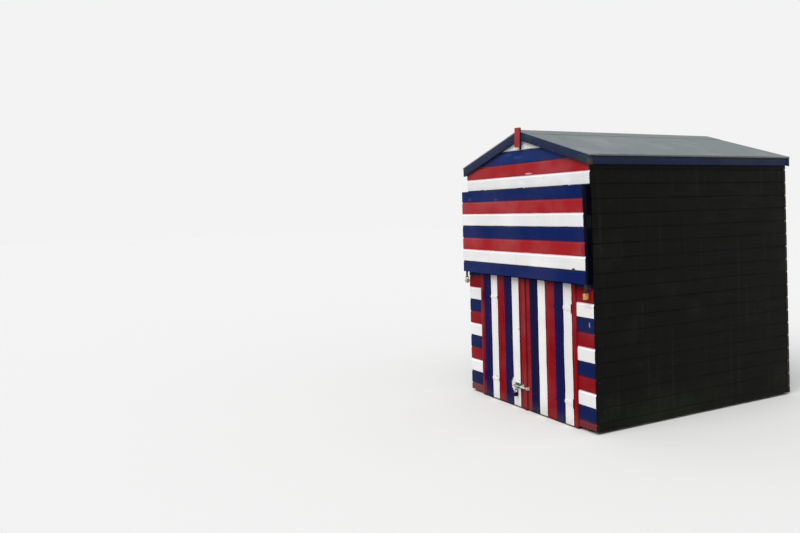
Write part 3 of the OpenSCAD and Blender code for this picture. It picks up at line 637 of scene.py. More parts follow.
@dataclass(frozen=True)
class MetalFinish:
    """Metal that has stood by the sea.

    Attributes:
        name: Name of the material.
        colour: Its clean colour.
        dull: Its colour where it has tarnished.
        metallic: 1 for bare metal, less under a skin of oxide.
        roughness: Lowest roughness.
        spangle: Size of the crystals in metres, or 0.
        rust: Share from 0 to 1 that rust covers.
        gloss: Specular level, 0.5 for clean metal and less under grime.
    """

    name: str
    colour: str
    dull: str
    metallic: float
    roughness: float
    spangle: float = 0.0
    rust: float = 0.0
    gloss: float = 0.5

    def build(self) -> bpy.types.Material:
        """Wire the material.

        Returns:
            The material.
        """
        draft = ShaderDraft(self.name)
        # Clouds of 22 mm and rust spots of 7 mm
        cloud = draft.grain((45, 45, 45), 4.0)
        spots = draft.grain((150, 150, 150), 4.0, 0.5)
        tone = draft.wire(Kind.SPAN, cloud, 0.36, 0.66, 0, 1)
        if self.spangle:
            cells = draft.wire(Kind.CELLS, Scale=1 / self.spangle)
            tone = draft.wire(Kind.PRODUCT, cells.outputs["Color"], tone)
        skin = draft.wire(Kind.COVER, tone, linear(self.colour), linear(self.dull))
        rusty = draft.wire(Kind.SPAN, spots, 0.78 - 0.4 * self.rust, 0.84 - 0.4 * self.rust, 0, 1)
        return draft.finish(
            spots, 0.25 * MM, 0.6,
            Base_Color=draft.wire(Kind.COVER, rusty, skin, linear("#5d3520")),
            Metallic=draft.wire(Kind.SCALED_SUM, rusty, -self.metallic, self.metallic),
            Specular_IOR_Level=self.gloss,
            Roughness=draft.wire(Kind.SPAN, cloud, 0.3, 0.7, self.roughness, self.roughness + 0.25),
        )


@dataclass(frozen=True)
class StudioGround:
    """Plain floor that keeps the hut's shadow: pale to the camera, and shingle in the light it returns."""

    name: str

    def build(self) -> bpy.types.Material:
        """Wire the material.

        Returns:
            The material.
        """
        draft = ShaderDraft(self.name)
        colour = draft.wire(Kind.COVER, seen_directly(draft.tree), linear("#8f877b"), linear("#d9d8d5"))
        return draft.finish(None, 0.0, 0.0, Base_Color=colour, Roughness=0.9, Specular_IOR_Level=0.1)


# Brushed edges of level stripes lie a little under the joints
UNDER_JOINT = 1.5 * MM
# The panels take the darker red and navy, which are partly painted shade
FRONT_STRIPES = Stripes(Axis.Z, FIRST_JOINT_Z - BOARD_PITCH - UNDER_JOINT, BOARD_PITCH,
                        (Paint.DEEP_RED, Paint.PANEL_NAVY, Paint.WHITE))
GABLE_STRIPES = Stripes(Axis.Z, GABLE_JOINT_Z - UNDER_JOINT, GABLE_PITCH,
                        (Paint.RED, Paint.FADED_NAVY, Paint.WHITE))
FLAP_STRIPES = Stripes(Axis.Z, FLAP_TOP - FLAP_TOP_BOARD - UNDER_JOINT, FLAP_PITCH,
                       (Paint.NAVY, Paint.WHITE, Paint.RED))
# The doors take the darker red and navy, which are partly painted shade
DOOR_COLOURS = (Paint.DEEP_NAVY, Paint.WHITE, Paint.DEEP_RED)
LEFT_DOOR_STRIPES = Stripes(Axis.X, -0.633, LEFT_BOARD_W, DOOR_COLOURS, (1.09, 2.0))
RIGHT_DOOR_STRIPES = Stripes(Axis.X, 0.080, RIGHT_BOARD_W, DOOR_COLOURS, (1.05, 1.94))

# Share of its colour that paint keeps on the walls near the ground, where it has faded least and most
DEEP = (1.04, 0.97)
# Chips on what hands and keys have touched
HANDLED = 0.05
ZINC_CRYSTAL = 9 * MM


class Finish(Enum):
    """Every finish on the hut, each made once."""

    # Gloss paint on boards: even colour with brush marks, and hard edges that follow the joints
    FRONT = Paintwork("striped_gloss_paint_front", stripes=FRONT_STRIPES, fading=DEEP,
                      wrap=Wrap((1.16, 0.885), (1.24, 0.868), Paint.STAIN), blots=(
        Blot(0.841, 0.874, 0.015, 0.046, "#8781b4"),
        Blot(-0.79, 0.047, 0.70, 0.088, "#72383c"),
        Blot(0.80, 0.047, 0.70, 0.088, "#6e2430"),
    ))
    GABLE = Paintwork("striped_gloss_paint_gable", stripes=GABLE_STRIPES,
                      wrap=Wrap((2.0, 0.873), (2.25, 0.870), Paint.STAIN), blots=(
        Blot(0.100, 2.130, 0.110, 0.017, "#cf9aa6"),
        Blot(-0.199, 2.320, 0.130, 0.036, "#283f77"),
        Blot(-0.045, 2.286, 0.150, 0.030, "#24427c"),
        # The whitest blot lightens the peak under the bargeboards: painted light against the shade of the
        # overhang
        Blot(0.010, 2.425, 0.440, 0.104, "#fafaf8"),
    ))
    FLAP = Paintwork("striped_gloss_paint_flap", stripes=FLAP_STRIPES,
                     wrap=Wrap((1.40, 0.877), (2.0, 0.855), Paint.CHEEK), blots=(
        Blot(-0.759, 1.920, 0.060, 0.022, "#483a60"),
        Blot(-0.316, 1.910, 0.050, 0.020, "#5c385e"),
        Blot(0.747, 1.322, 0.036, 0.016, "#060c26"),
        Blot(0.864, 1.840, 0.050, 0.098, "#932834"),
        Blot(0.867, 1.490, 0.056, 0.098, "#8b2838"),
    ))
    LEFT_DOOR = Paintwork("striped_gloss_paint_left_door", stripes=LEFT_DOOR_STRIPES, brush=Axis.Z,
                          fading=DEEP, blots=(
        Blot(-0.452, 0.227, 0.020, 0.018, "#8d9092"),
        Blot(-0.182, 0.203, 0.062, 0.112, "#e3e3e4"),
        # The long dark red line beside the cover strip is painted shade along the strip's edge
        Blot(-0.062, 0.600, 0.011, 1.500, "#3f0508"),
    ))
    RIGHT_DOOR = Paintwork("striped_gloss_paint_right_door", stripes=RIGHT_DOOR_STRIPES, brush=Axis.Z,
                           fading=DEEP, blots=(Blot(0.139, 0.600, 0.104, 4.000, "#0a0e38"),))
    # The same paint over steel straps, chipped and with its bands a little off those of the boards
    LEFT_STRAPS = Paintwork("striped_gloss_paint_left_straps", stripes=LEFT_DOOR_STRIPES,
                            shift=4 * MM, chips=HANDLED, fading=DEEP)
    RIGHT_STRAPS = Paintwork("striped_gloss_paint_right_straps", stripes=RIGHT_DOOR_STRIPES,
                             shift=4 * MM, chips=HANDLED, fading=DEEP)
    # One colour, brushed along narrow trim: plain and even, with a soft sheen, in the darker red that is
    # partly painted shade
    FACING = Paintwork("red_gloss_paint_facings", colour=Paint.DEEP_RED, brush=Axis.Z,
                       blots=(Blot(-0.670, 1.030, 0.030, 0.060, "#a5492f"),))
    COVER_STRIP = Paintwork("red_gloss_paint_cover_strip", colour=Paint.DEEP_RED, brush=Axis.Z)
    FINIAL = Paintwork("red_gloss_paint_finial", colour=Paint.RED, brush=Axis.Z, chips=0.02,
                       fading=(1.0, 0.88), blots=(Blot(0.026, 2.386, 0.036, 0.034, "#8a5338"),))
    # The flap's hinge leaves and the plates' knuckles: the flap's navy taken down to near black, as painted
    # shade that carries on the dark line of the joint over the flap
    LEAVES = Paintwork("navy_gloss_paint_flap_leaves", colour=Paint.CHEEK)
    PLATES = Paintwork("white_gloss_paint_flap_plates", colour=Paint.WHITE)
    # Old navy paint on trim: greyed, chipped and less glossy
    BARGE = Paintwork("navy_paint_bargeboards", colour=Paint.BARGE, chips=0.04, roughness=0.5, blots=(
        Blot(0.160, 2.450, 0.110, 0.090, "#2a3c48"),
        Blot(0.830, 2.215, 0.170, 0.080, "#2e3a45"),
        Blot(0.905, 2.175, 0.060, 0.070, "#4b4341"),
    ))
    PLAIN_TRIM = Paintwork("navy_paint_back_and_eaves", colour=Paint.BARGE, chips=0.04, roughness=0.5)
    # Almost black, without gloss, on the frame behind the flap
    CHEEK = Paintwork("dark_navy_paint_flap_frame", colour=Paint.CHEEK, roughness=0.6, gloss=0.01,
                      blots=(Blot(0.897, 1.704, 0.030, 0.110, "#181c1b"),))
    # Bitumen on rough boards: soot black, green near the ground
    SIDE_BOARDS = BlackStain("black_bitumen_stain_side", Axis.Y)
    BACK_BOARDS = BlackStain("black_bitumen_stain_back", Axis.X)
    BEARERS = BlackStain("black_bitumen_stain_bearers", Axis.Y)
    # Bare softwood: warm, with rings along each timber, and paler or greyer where feet and damp reach
    TIMBER_X = SawnTimber("sawn_softwood_across", Axis.X)
    TIMBER_Y = SawnTimber("sawn_softwood_deep", Axis.Y)
    TIMBER_Z = SawnTimber("sawn_softwood_upright", Axis.Z)
    ROOF_BOARDS = SawnTimber("sawn_softwood_roof_boards", Axis.X, "#a98f6b", "#80674a")
    FLOOR_BOARDS = SawnTimber("worn_softwood_floor", Axis.X, "#9d8a6d", "#766247")
    # Stone chippings in bitumen: grey-green, bleached in patches, dead matt
    FELT = MineralFelt("green_mineral_felt")
    # Hot-dipped zinc: grey-green oxide over faint crystals, darker on the plate behind the bar as painted
    # shade, bright where it slides
    GALVANISED = MetalFinish("galvanised_steel", "#74897b", "#2c3c32", 0.15, 0.55, ZINC_CRYSTAL, 0.2, 0.2)
    GREEN_PLATE = MetalFinish("galvanised_plate_under_algae", "#566b5e", "#1c2b21", 0.1, 0.6,
                              ZINC_CRYSTAL, 0.1, 0.15)
    WORN_BAR = MetalFinish("galvanised_steel_rubbed_bright", "#dcdacb", "#b3ab9e", 0.55, 0.4,
                           ZINC_CRYSTAL, 0.1)
    # Japanned, plated and bare steel: black lacquer, a dark worn skin, pale plating, brown tarnish
    DARK_STEEL = MetalFinish("black_japanned_steel", "#0a0a0a", "#171512", 0.0, 0.5, 0.0, 0.1, 0.1)
    HASP_STEEL = MetalFinish("weathered_steel_hasps", "#24262b", "#33353a", 0.2, 0.45, 0.0, 0.15, 0.3)
    ROUND_LOCK = MetalFinish("plated_steel_round_lock", "#deddd6", "#bdbbb2", 0.35, 0.4, 0.0, 0.05)
    SHACKLE = MetalFinish("tarnished_steel_shackle", "#3a2f2a", "#241a16", 0.5, 0.45, 0.0, 0.3, 0.3)
    # Cast brass: yellow, with darker clouds and soft highlights
    BRASS = MetalFinish("weathered_brass", "#e0a865", "#b58449", 1.0, 0.3)
    # Nail heads: brown where they have rusted, dull zinc on the felt
    RUST = MetalFinish("rusted_nail", "#6b4a36", "#4e3426", 0.2, 0.7, 0.0, 0.6)
    NAIL_GALVANISED = MetalFinish("galvanised_clout_nail", "#9da29f", "#6f7472", 0.6, 0.5, 0.0, 0.3)

    @property
    def material(self) -> bpy.types.Material:
        """The finish's material, which is made when it is first asked for."""
        return bpy.data.materials.get(self.value.name) or self.value.build()


@contextmanager
def opened(mesh: Mesh, source: Optional[Mesh] = None) -> Iterator[bmesh.types.BMesh]:
    """Open a mesh for editing, and write it back.

    Args:
        mesh: Mesh that the result goes into.
        source: Mesh that the editing starts from, where that is another one.

    Yields:
        What is edited.
    """
    shell = bmesh.new()
    shell.from_mesh(source or mesh)
    yield shell
    shell.to_mesh(mesh)
    shell.free()


def place(name: str, mesh: Mesh) -> Piece:
    """Put a mesh in the scene as an object at the origin.

    Args:
        name: Name of both.
        mesh: The mesh.

    Returns:
        The object.
    """
    mesh.name = name
    piece = bpy.data.objects.new(name, mesh)
    bpy.context.scene.collection.objects.link(piece)
    return piece


def smooth(piece: Piece, angle: float = 32.0) -> None:
    """Shade a piece smooth, and keep its sharp edges.

    Args:
        piece: The piece.
        angle: Angle in degrees past which an edge is sharp.
    """
    with opened(piece.data) as shell:
        for face in shell.faces:
            face.smooth = True
        for edge in shell.edges:
            edge.smooth = len(edge.link_faces) == 2 and edge.calc_face_angle(math.pi) < math.radians(angle)


def tube(name: str, verts: Iterable[Sequence[float]], sides: int) -> Mesh:
    """Draw a tube from rings of vertices, closed at both ends, with its faces outwards.

    Args:
        name: Name of the mesh.
        verts: The vertices, ring by ring.
        sides: Vertices in a ring.

    Returns:
        The mesh.
    """
    points = [tuple(vert) for vert in verts]
    last = len(points) - sides
    following = [i + 1 if (i + 1) % sides else i + 1 - sides for i in range(last)]
    faces = [(i, after, after + sides, i + sides) for i, after in enumerate(following)]
    mesh = bpy.data.meshes.new(name)
    mesh.from_pydata(points, [], [*faces, tuple(range(sides)), tuple(range(last, last + sides))])
    with opened(mesh) as shell:
        bmesh.ops.recalc_face_normals(shell, faces=shell.faces)
    return mesh


def swept(name: str, section: Section, start: Sequence[float], axes: Axes, spots: Sequence[float]) -> Mesh:
    """Carry a closed section along a straight line, with its front arris taken off at both ends.

    Args:
        name: Name of the mesh.
        section: Depth behind the face, height and wear of each point.
        start: Where the section's origin starts.
        axes: Directions of the sweep, of the depth and of the height.
        spots: Distances from the start at which the section is drawn.

    Returns:
        The mesh, with the wear of each vertex.
    """
    along, depth, up = (Vector(axis) for axis in axes)
    front = min(point[0] for point in section)
    verts = []
    wears = []
    for number, distance in enumerate(spots):
        at_end = number in (0, len(spots) - 1)
        for into, high, wear in section:
            dip = END_DIP if at_end and into - front < 2 * END_DIP else 0.0
            verts.append(Vector(start) + along * distance + depth * (into + dip) + up * high)
            wears.append(1.0 if at_end and into - front < 8 * MM else wear)
    mesh = tube(name, verts, len(section))
    mesh.attributes.new("wear", "FLOAT", "POINT").data.foreach_set("value", wears)
    return mesh


def stations(length: float, step: float) -> list[float]:
    """Spread the places at which a board's section is drawn, close together at its ends.

    Args:
        length: Length of the board.
        step: Spacing between the ends.

    Returns:
        Their distances from one end.
    """
    ends = [0.0, 2.0 * MM, 9.0 * MM]
    count = max(1, round((length - 2 * ends[-1]) / step))
    middle = [ends[-1] + (length - 2 * ends[-1]) * i / count for i in range(1, count)]
    return ends + middle + [length - distance for distance in reversed(ends)]


def clip(mesh: Mesh, cuts: Iterable[tuple[float, Sequence[float]]]) -> None:
    """Cut a mesh of closed shells by planes, and close each cut.

    Args:
        mesh: Mesh that is changed.
        cuts: Height at which each plane crosses the Z axis, and its outward direction. What lies
            beyond the plane goes.
    """
    with opened(mesh) as shell:
        for height, way in cuts:
            everything = shell.verts[:] + shell.edges[:] + shell.faces[:]
            plane = {"plane_co": (0, 0, height), "plane_no": Vector(way).normalized()}
            cut = bmesh.ops.bisect_plane(shell, geom=everything, dist=1e-6, clear_outer=True, **plane)
            rims = [edge for edge in cut["geom_cut"] if isinstance(edge, bmesh.types.BMEdge)]
            rims = [edge for edge in rims if edge.is_valid and edge.is_boundary]
            if rims:
                bmesh.ops.edgeloop_fill(shell, edges=rims)
        bmesh.ops.recalc_face_normals(shell, faces=shell.faces)


def under_roof(*sides: Side) -> list[tuple[float, Sequence[float]]]:
    """Planes just under the roof boards of the slopes on one or both sides."""
    return [(RIDGE_Z - ROOF_BOARD_DROP - 0.2 * MM, (side.value * SLOPE, 0, 1)) for side in sides]


def joined(name: str, meshes: Sequence[Mesh]) -> Mesh:
    """Join meshes into one, and remove the parts.

    Args:
        name: Name of the whole.
        meshes: The parts.

    Returns:
        The whole.
    """
    shell = bmesh.new()
    whole = bpy.data.meshes.new(name)
    for mesh in meshes:
        shell.from_mesh(mesh)
        bpy.data.meshes.remove(mesh)
    shell.to_mesh(whole)
    shell.free()
    return whole


def dress(
    piece: Piece,
    body: str,
    finishes: Sequence[Finish] = (),
    choose: Optional[Callable[[bpy.types.MeshPolygon], int]] = None,
    node: str = "",
) -> Piece:
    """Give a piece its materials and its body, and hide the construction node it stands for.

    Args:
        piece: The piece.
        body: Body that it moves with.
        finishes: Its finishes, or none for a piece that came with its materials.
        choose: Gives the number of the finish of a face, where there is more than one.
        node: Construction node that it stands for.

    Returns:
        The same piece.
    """
    if finishes:
        piece.data.materials.clear()
    for finish in finishes:
        piece.data.materials.append(finish.material)
    for face in piece.data.polygons if choose else ():
        face.material_index = int(choose(face))
    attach(piece, body)
    if node:
        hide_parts(node)
    LOG.info("%s: %d faces, rides on %s", piece.name, len(piece.data.polygons), body)
    return piece


def worked(
    node: str,
    name: str,
    arris: float,
    body: str,
    slot: str,
    *finishes: Finish,
    choose: Optional[Callable[[bpy.types.MeshPolygon], int]] = None,
    segments: int = 2,
) -> Piece:
    """Copy a construction node, round its arrises as planing and paint do, and finish it.

    Args:
        node: Name of the construction node.
        name: Name of the new piece.
        arris: Width of the rounding in metres.
        body: Body that it moves with.
        slot: The record's material slot, which is not used.
        finishes: Its finishes.
        choose: Gives the number of the finish of a face, where there is more than one.
        segments: Faces across the rounding.

    Returns:
        The new piece, at the origin.
    """
    mesh = bpy.data.meshes.new(name)
    with opened(mesh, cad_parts[node].data) as shell:
        bmesh.ops.remove_doubles(shell, verts=shell.verts, dist=5e-6)
        flat = math.radians(0.8)
        bmesh.ops.dissolve_limit(shell, angle_limit=flat, verts=shell.verts, edges=shell.edges)
        rounded = math.radians(ROUNDED_EDGE)
        pairs = [edge for edge in shell.edges if len(edge.link_faces) == 2]
        sharp = [edge for edge in pairs if edge.calc_face_angle(0.0) > rounded]
        bmesh.ops.bevel(shell, geom=sharp, offset=arris, offset_type="OFFSET", segments=segments,
                        profile=0.5, affect="EDGES", clamp_overlap=True)
    piece = place(name, mesh)
    smooth(piece)
    return dress(piece, body, finishes, choose, node)


def boarded(
    name: str, mesh: Mesh, finishes: tuple[Finish, Finish], inward: Sequence[float],
    body: str, node: str,
) -> None:
    """Place boards with the finish of their faces, and with their backs bare inside the hut.

    Args:
        name: Name of the piece.
        mesh: The boards.
        finishes: Finish of their faces and edges, and finish of their backs.
        inward: Direction into the hut.
        body: Body that they move with.
        node: Construction node that they stand for.
    """
    piece = place(name, mesh)
    smooth(piece)
    way = Vector(inward)
    dress(piece, body, finishes, lambda face: face.normal.dot(way) > 0.9, node)


def settled(name: str, carrier: Piece) -> Mesh:
    """Turn an object and its modifiers into a plain mesh, and remove the object.

    Args:
        name: Name of the mesh.
        carrier: The object.

    Returns:
        The plain mesh.
    """
    carrier.update_tag()
    bpy.context.view_layer.update()
    ready = carrier.evaluated_get(bpy.context.evaluated_depsgraph_get())
    result = bpy.data.meshes.new_from_object(ready)
    result.name = name
    bpy.data.objects.remove(carrier)
    return result


def grown(name: str, mesh: Mesh, tree: bpy.types.NodeTree, values: dict[str, object]) -> Mesh:
    """Run a geometry tree on a mesh and keep its result as a plain mesh.

    Args:
        name: Name of the result.
        mesh: What the tree starts from.
        tree: The geometry tree.
        values: Value of each of its inputs, by the name that the tree gives it.

    Returns:
        The plain mesh.
    """
    carrier = place(name + "_carrier", mesh)
    modifier = carrier.modifiers.new("growth", "NODES")
    modifier.node_group = tree
    for item in tree.interface.items_tree:
        if item.item_type == "SOCKET" and item.in_out == "INPUT" and item.name in values:
            modifier[item.identifier] = values[item.name]
    return settled(name, carrier)


def new_tree(name: str, inputs: dict[str, str]) -> tuple[bpy.types.NodeTree, bpy.types.NodeOutputs]:
    """Start a geometry tree with named inputs.

    Args:
        name: Name of the tree.
        inputs: Type of each input after the geometry, by its name.

    Returns:
        The tree, and the sockets of its inputs.
    """
    tree = bpy.data.node_groups.new(name, "GeometryNodeTree")
    for label, kind in {"Geometry": "Geometry", **inputs}.items():
        tree.interface.new_socket(label, in_out="INPUT", socket_type="NodeSocket" + kind)
    tree.interface.new_socket("Geometry", in_out="OUTPUT", socket_type="NodeSocketGeometry")
    return tree, add(tree, Kind.GIVEN).outputs


def board_stack_tree() -> bpy.types.NodeTree:
    """Wire the tree that repeats one board, each a little off line, with a slow warp along them.

    Returns:
        The geometry tree.
    """
    tree, given = new_tree("board_stack", {
        "Count": "Int", "Step": "Vector", "Slack": "Vector", "Warp": "Float", "Seed": "Int",
        "Finish": "Material",
    })
    line = add(tree, Kind.LINE, Count=given["Count"], Offset=given["Step"])
    boards = add(tree, Kind.ON_POINTS, Points=line, Instance=given["Geometry"])
    loose = add(tree, Kind.ANY_VECTOR, (-1, -1, -1), (1, 1, 1), Seed=given["Seed"])
    off_line = add(tree, Kind.STRETCH, loose, given["Slack"])
    moved = add(tree, Kind.MOVE, Instances=boards, Translation=off_line)
    solid = add(tree, Kind.REAL, Geometry=moved)
    spot = add(tree, Kind.POSITION)
    wave = add(tree, Kind.DRIFTING_NOISE, Vector=spot, W=given["Seed"], Scale=3.2, Detail=2.0)
    centred = add(tree, Kind.SHIFT, wave.outputs["Color"], (0.5, 0.5, 0.5))
    warp = add(tree, Kind.SCALE, centred, given["Warp"])
    warped = add(tree, Kind.PUSH, Geometry=solid, Offset=warp)
    real = add(tree, Kind.REAL, Geometry=warped)
    add(tree, Kind.RESULT, Geometry=add(tree, Kind.DRESS, Geometry=real, Material=given["Finish"]))
    return tree


def fixings_tree() -> bpy.types.NodeTree:
    """Wire the tree that sets a nail or screw head on each point, turned to face outwards.

    Returns:
        The geometry tree.
    """
    tree, given = new_tree("fixings", {
        "Head": "Object", "Rusty share": "Float", "Seed": "Int", "Finish": "Material",
        "Rust": "Material",
    })
    seed = given["Seed"]
    head = add(tree, Kind.OBJECT, Object=given["Head"]).outputs["Geometry"]
    outward = add(tree, Kind.FACE_ALONG, Vector=add(tree, Kind.READ_VECTOR, Name="facing"))
    size = add(tree, Kind.ANY_NUMBER, 0.88, 1.12, Seed=seed)
    points = given["Geometry"]
    heads = add(tree, Kind.ON_POINTS, Points=points, Instance=head, Rotation=outward, Scale=size)
    spin = add(tree, Kind.ANY_VECTOR, (0, 0, 0), (0.12, 0.12, 6.28), Seed=seed)
    spun = add(tree, Kind.TURN, Instances=heads, Rotation=spin)
    chance = add(tree, Kind.CHANCE, given["Rusty share"], Seed=seed)
    marked = add(tree, Kind.MARK, Geometry=spun, Name="rusty", Value=chance)
    real = add(tree, Kind.REAL, Geometry=marked)
    plain = add(tree, Kind.DRESS, Geometry=real, Material=given["Finish"])
    rusty = add(tree, Kind.READ_MARK, Name="rusty")
    done = add(tree, Kind.DRESS, Geometry=plain, Selection=rusty, Material=given["Rust"])
    add(tree, Kind.RESULT, Geometry=done)
    return tree


@dataclass(frozen=True)
class Layout:
    """How one board is repeated.

    Attributes:
        count: Number of boards.
        pitch: Distance from one board to the next.
        finish: Finish of the boards.
        slack: How far a board may be off line along each axis.
        warp: How far the boards warp along their length.
        seed: Seed of both.
    """

    count: int
    pitch: float
    finish: Finish
    slack: tuple[float, float, float]
    warp: float
    seed: int


@dataclass
class Workshop:
    """What every sub-assembly shares.

    Attributes:
        boards: Geometry tree that repeats a board.
        fixings: Geometry tree that sets nail and screw heads.
    """

    boards: bpy.types.NodeTree = field(default_factory=board_stack_tree)
    fixings: bpy.types.NodeTree = field(default_factory=fixings_tree)

    def run(
        self, name: str, section: Section, start: Sequence[float], axes: Axes, spots: list[float],
        layout: Layout,
    ) -> Mesh:
        """Sweep one board and repeat it.

        Args:
            name: Name of the result.
            section: Section of the board.
            start: Where the section's origin starts.
            axes: Directions along the board, into the wall, and on to the next board.
            spots: Distances along the board at which the section is drawn.
            layout: How the board is repeated.

        Returns:
            The plain mesh of all the boards.
        """
        return grown(name, swept(name, section, start, axes, spots), self.boards, {
            "Count": layout.count,
            "Step": tuple(Vector(axes[2]) * layout.pitch),
            "Slack": layout.slack,
            "Warp": layout.warp,
            "Seed": layout.seed,
            "Finish": layout.finish.material,
        })

    def heads(
        self,
        name: str,
        body: str,
        points: Sequence[tuple[Sequence[float], Sequence[float]]],
        finish: Finish,
        radius: float,
        rusty: float,
        seed: int,
        slotted: bool = False,
    ) -> None:
        """Set nail or screw heads on points.

        Args:
            name: Name of the piece.
            body: Body that they move with.
            points: Place and outward direction of each head.
            finish: Finish of most of the heads.
            radius: Radius of a head.
            rusty: Share of the heads that have rusted.
            seed: Seed of their turn, size and rust.
            slotted: Whether the heads are slotted screws.
        """
        head = place(name + "_head", head_mesh(radius, slotted))
        cloud = bpy.data.meshes.new(name)
        cloud.from_pydata([tuple(point) for point, _ in points], [], [])
        facing = cloud.attributes.new("facing", "FLOAT_VECTOR", "POINT")
        facing.data.foreach_set("vector", [value for _, way in points for value in way])
        mesh = grown(name, cloud, self.fixings, {
            "Head": head,
            "Rusty share": rusty,
            "Seed": seed,
            "Finish": finish.material,
            "Rust": Finish.RUST.material,
        })
        bpy.data.objects.remove(head)
        piece = place(name, mesh)
        smooth(piece, 50)
        dress(piece, body)


def head_mesh(radius: float, slotted: bool) -> Mesh:
    """Draw a low domed head about +Z, with its foot just under the surface it sits on.

    Args:
        radius: Radius of the head.
        slotted: Whether a screwdriver slot crosses it.

    Returns:
        The mesh, of a few dozen faces.
    """
    sides = 10
    verts = []
    for share, high in ((1.0, -0.5), (1.0, 0.12), (0.8, 0.3), (0.42, 0.4)):
        for i in range(sides):
            angle = 2 * math.pi * i / sides
            x, y = share * math.cos(angle), share * math.sin(angle)
            sunk = 0.3 if slotted and high > 0.35 and abs(y) < 0.2 else 0.0
            verts.append((radius * x, radius * y, radius * (high - sunk)))
    return tube("head", verts, sides)


def weatherboard(pitch: float, thickness: float, cove: bool = True) -> Section:
    """Section of one weatherboard, as depth behind the face, height and wear.

    Args:
        pitch: Cover height of the board.
        thickness: Thickness of the board.
        cove: Whether a hollow cove runs along its top.

    Returns:
        The closed section, from the back of its lower edge.
    """
    arris = [(2.4 * MM, 0.0, 0.8), (0.7 * MM, 0.7 * MM, 1.0), (0.0, 2.4 * MM, 0.8), (0.0, 9 * MM, 0.0)]
    section = [(thickness, 0.0, 0.0), (7 * MM, 0.0, 0.1), *arris, (0.0, pitch * 0.5, 0.0)]
    if cove:
        section += [(0.0, pitch - 29 * MM, 0.0), (0.0, pitch - 20 * MM, 0.4)]
        for degrees in range(15, 105, 15):
            turn = math.radians(degrees)
            section.append((7 * MM * math.sin(turn), pitch - 20 * MM * math.cos(turn), 0.0))
    else:
        section += [(into, pitch - high, wear) for into, high, wear in reversed(arris)]
    return [*section, (thickness, pitch, 0.0)]


def vee_board(width: float, thickness: float, bead: bool) -> Section:
    """Section of one upright door board, with half a V on each edge.

    Args:
        width: Width of the board.
        thickness: Thickness of the board.
        bead: Whether a bead line runs down its middle.

    Returns:
        The closed section, as depth behind the face, distance across the board and wear.
    """
    half = 3.5 * MM
    left = [
        (thickness, 0.0, 0.0),
        (half, 0.0, 0.2),
        (0.5 * MM, half - 0.5 * MM, 1.0),
        (0.0, half + 1.2 * MM, 0.7),
        (0.0, half + 7 * MM, 0.0),
    ]
    if bead:
        left += [(0.0, width / 2 - 2.8 * MM, 0.2), (2.2 * MM, width / 2 - 0.4 * MM, 0.0)]
    return left + [(into, width - across, wear) for into, across, wear in reversed(left)]


def rot(mesh: Mesh, level: float, reach: float, seed: float, least: float = 0.0) -> None:
    """Eat into the lower edge of the boards nearest the ground, as damp and sand do.

    Args:
        mesh: Mesh that is changed.
        level: Height of the edge.
        reach: How far up the rot gets.
        seed: Start of the noise.
        least: Share of that reach that is gone everywhere.
    """
    for vert in mesh.vertices:
        if vert.co.z < level + 3 * MM:
            spot = Vector((vert.co.x * 21 + seed, vert.co.y * 21, 0.0))
            bite = max(0.0, noise.noise(spot) + 0.35 * noise.noise(spot * 3.1) + 0.12)
            vert.co.z += reach * min(1.0, least + bite)


def spread(count: int, first: float, spacing: float) -> list[float]:
    """Places at an even spacing, from the first one on."""
    return [first + i * spacing for i in range(count)]


def nail_heights(joint: float, pitch: float, count: int) -> list[float]:
    """Heights of the nails in a stack of boards, two in each, from the board under a joint upwards."""
    heights = [low + up for low in spread(count, joint - pitch, pitch) for up in NAILS_UP]
    return [z for z in heights if z > LOWEST_NAIL]


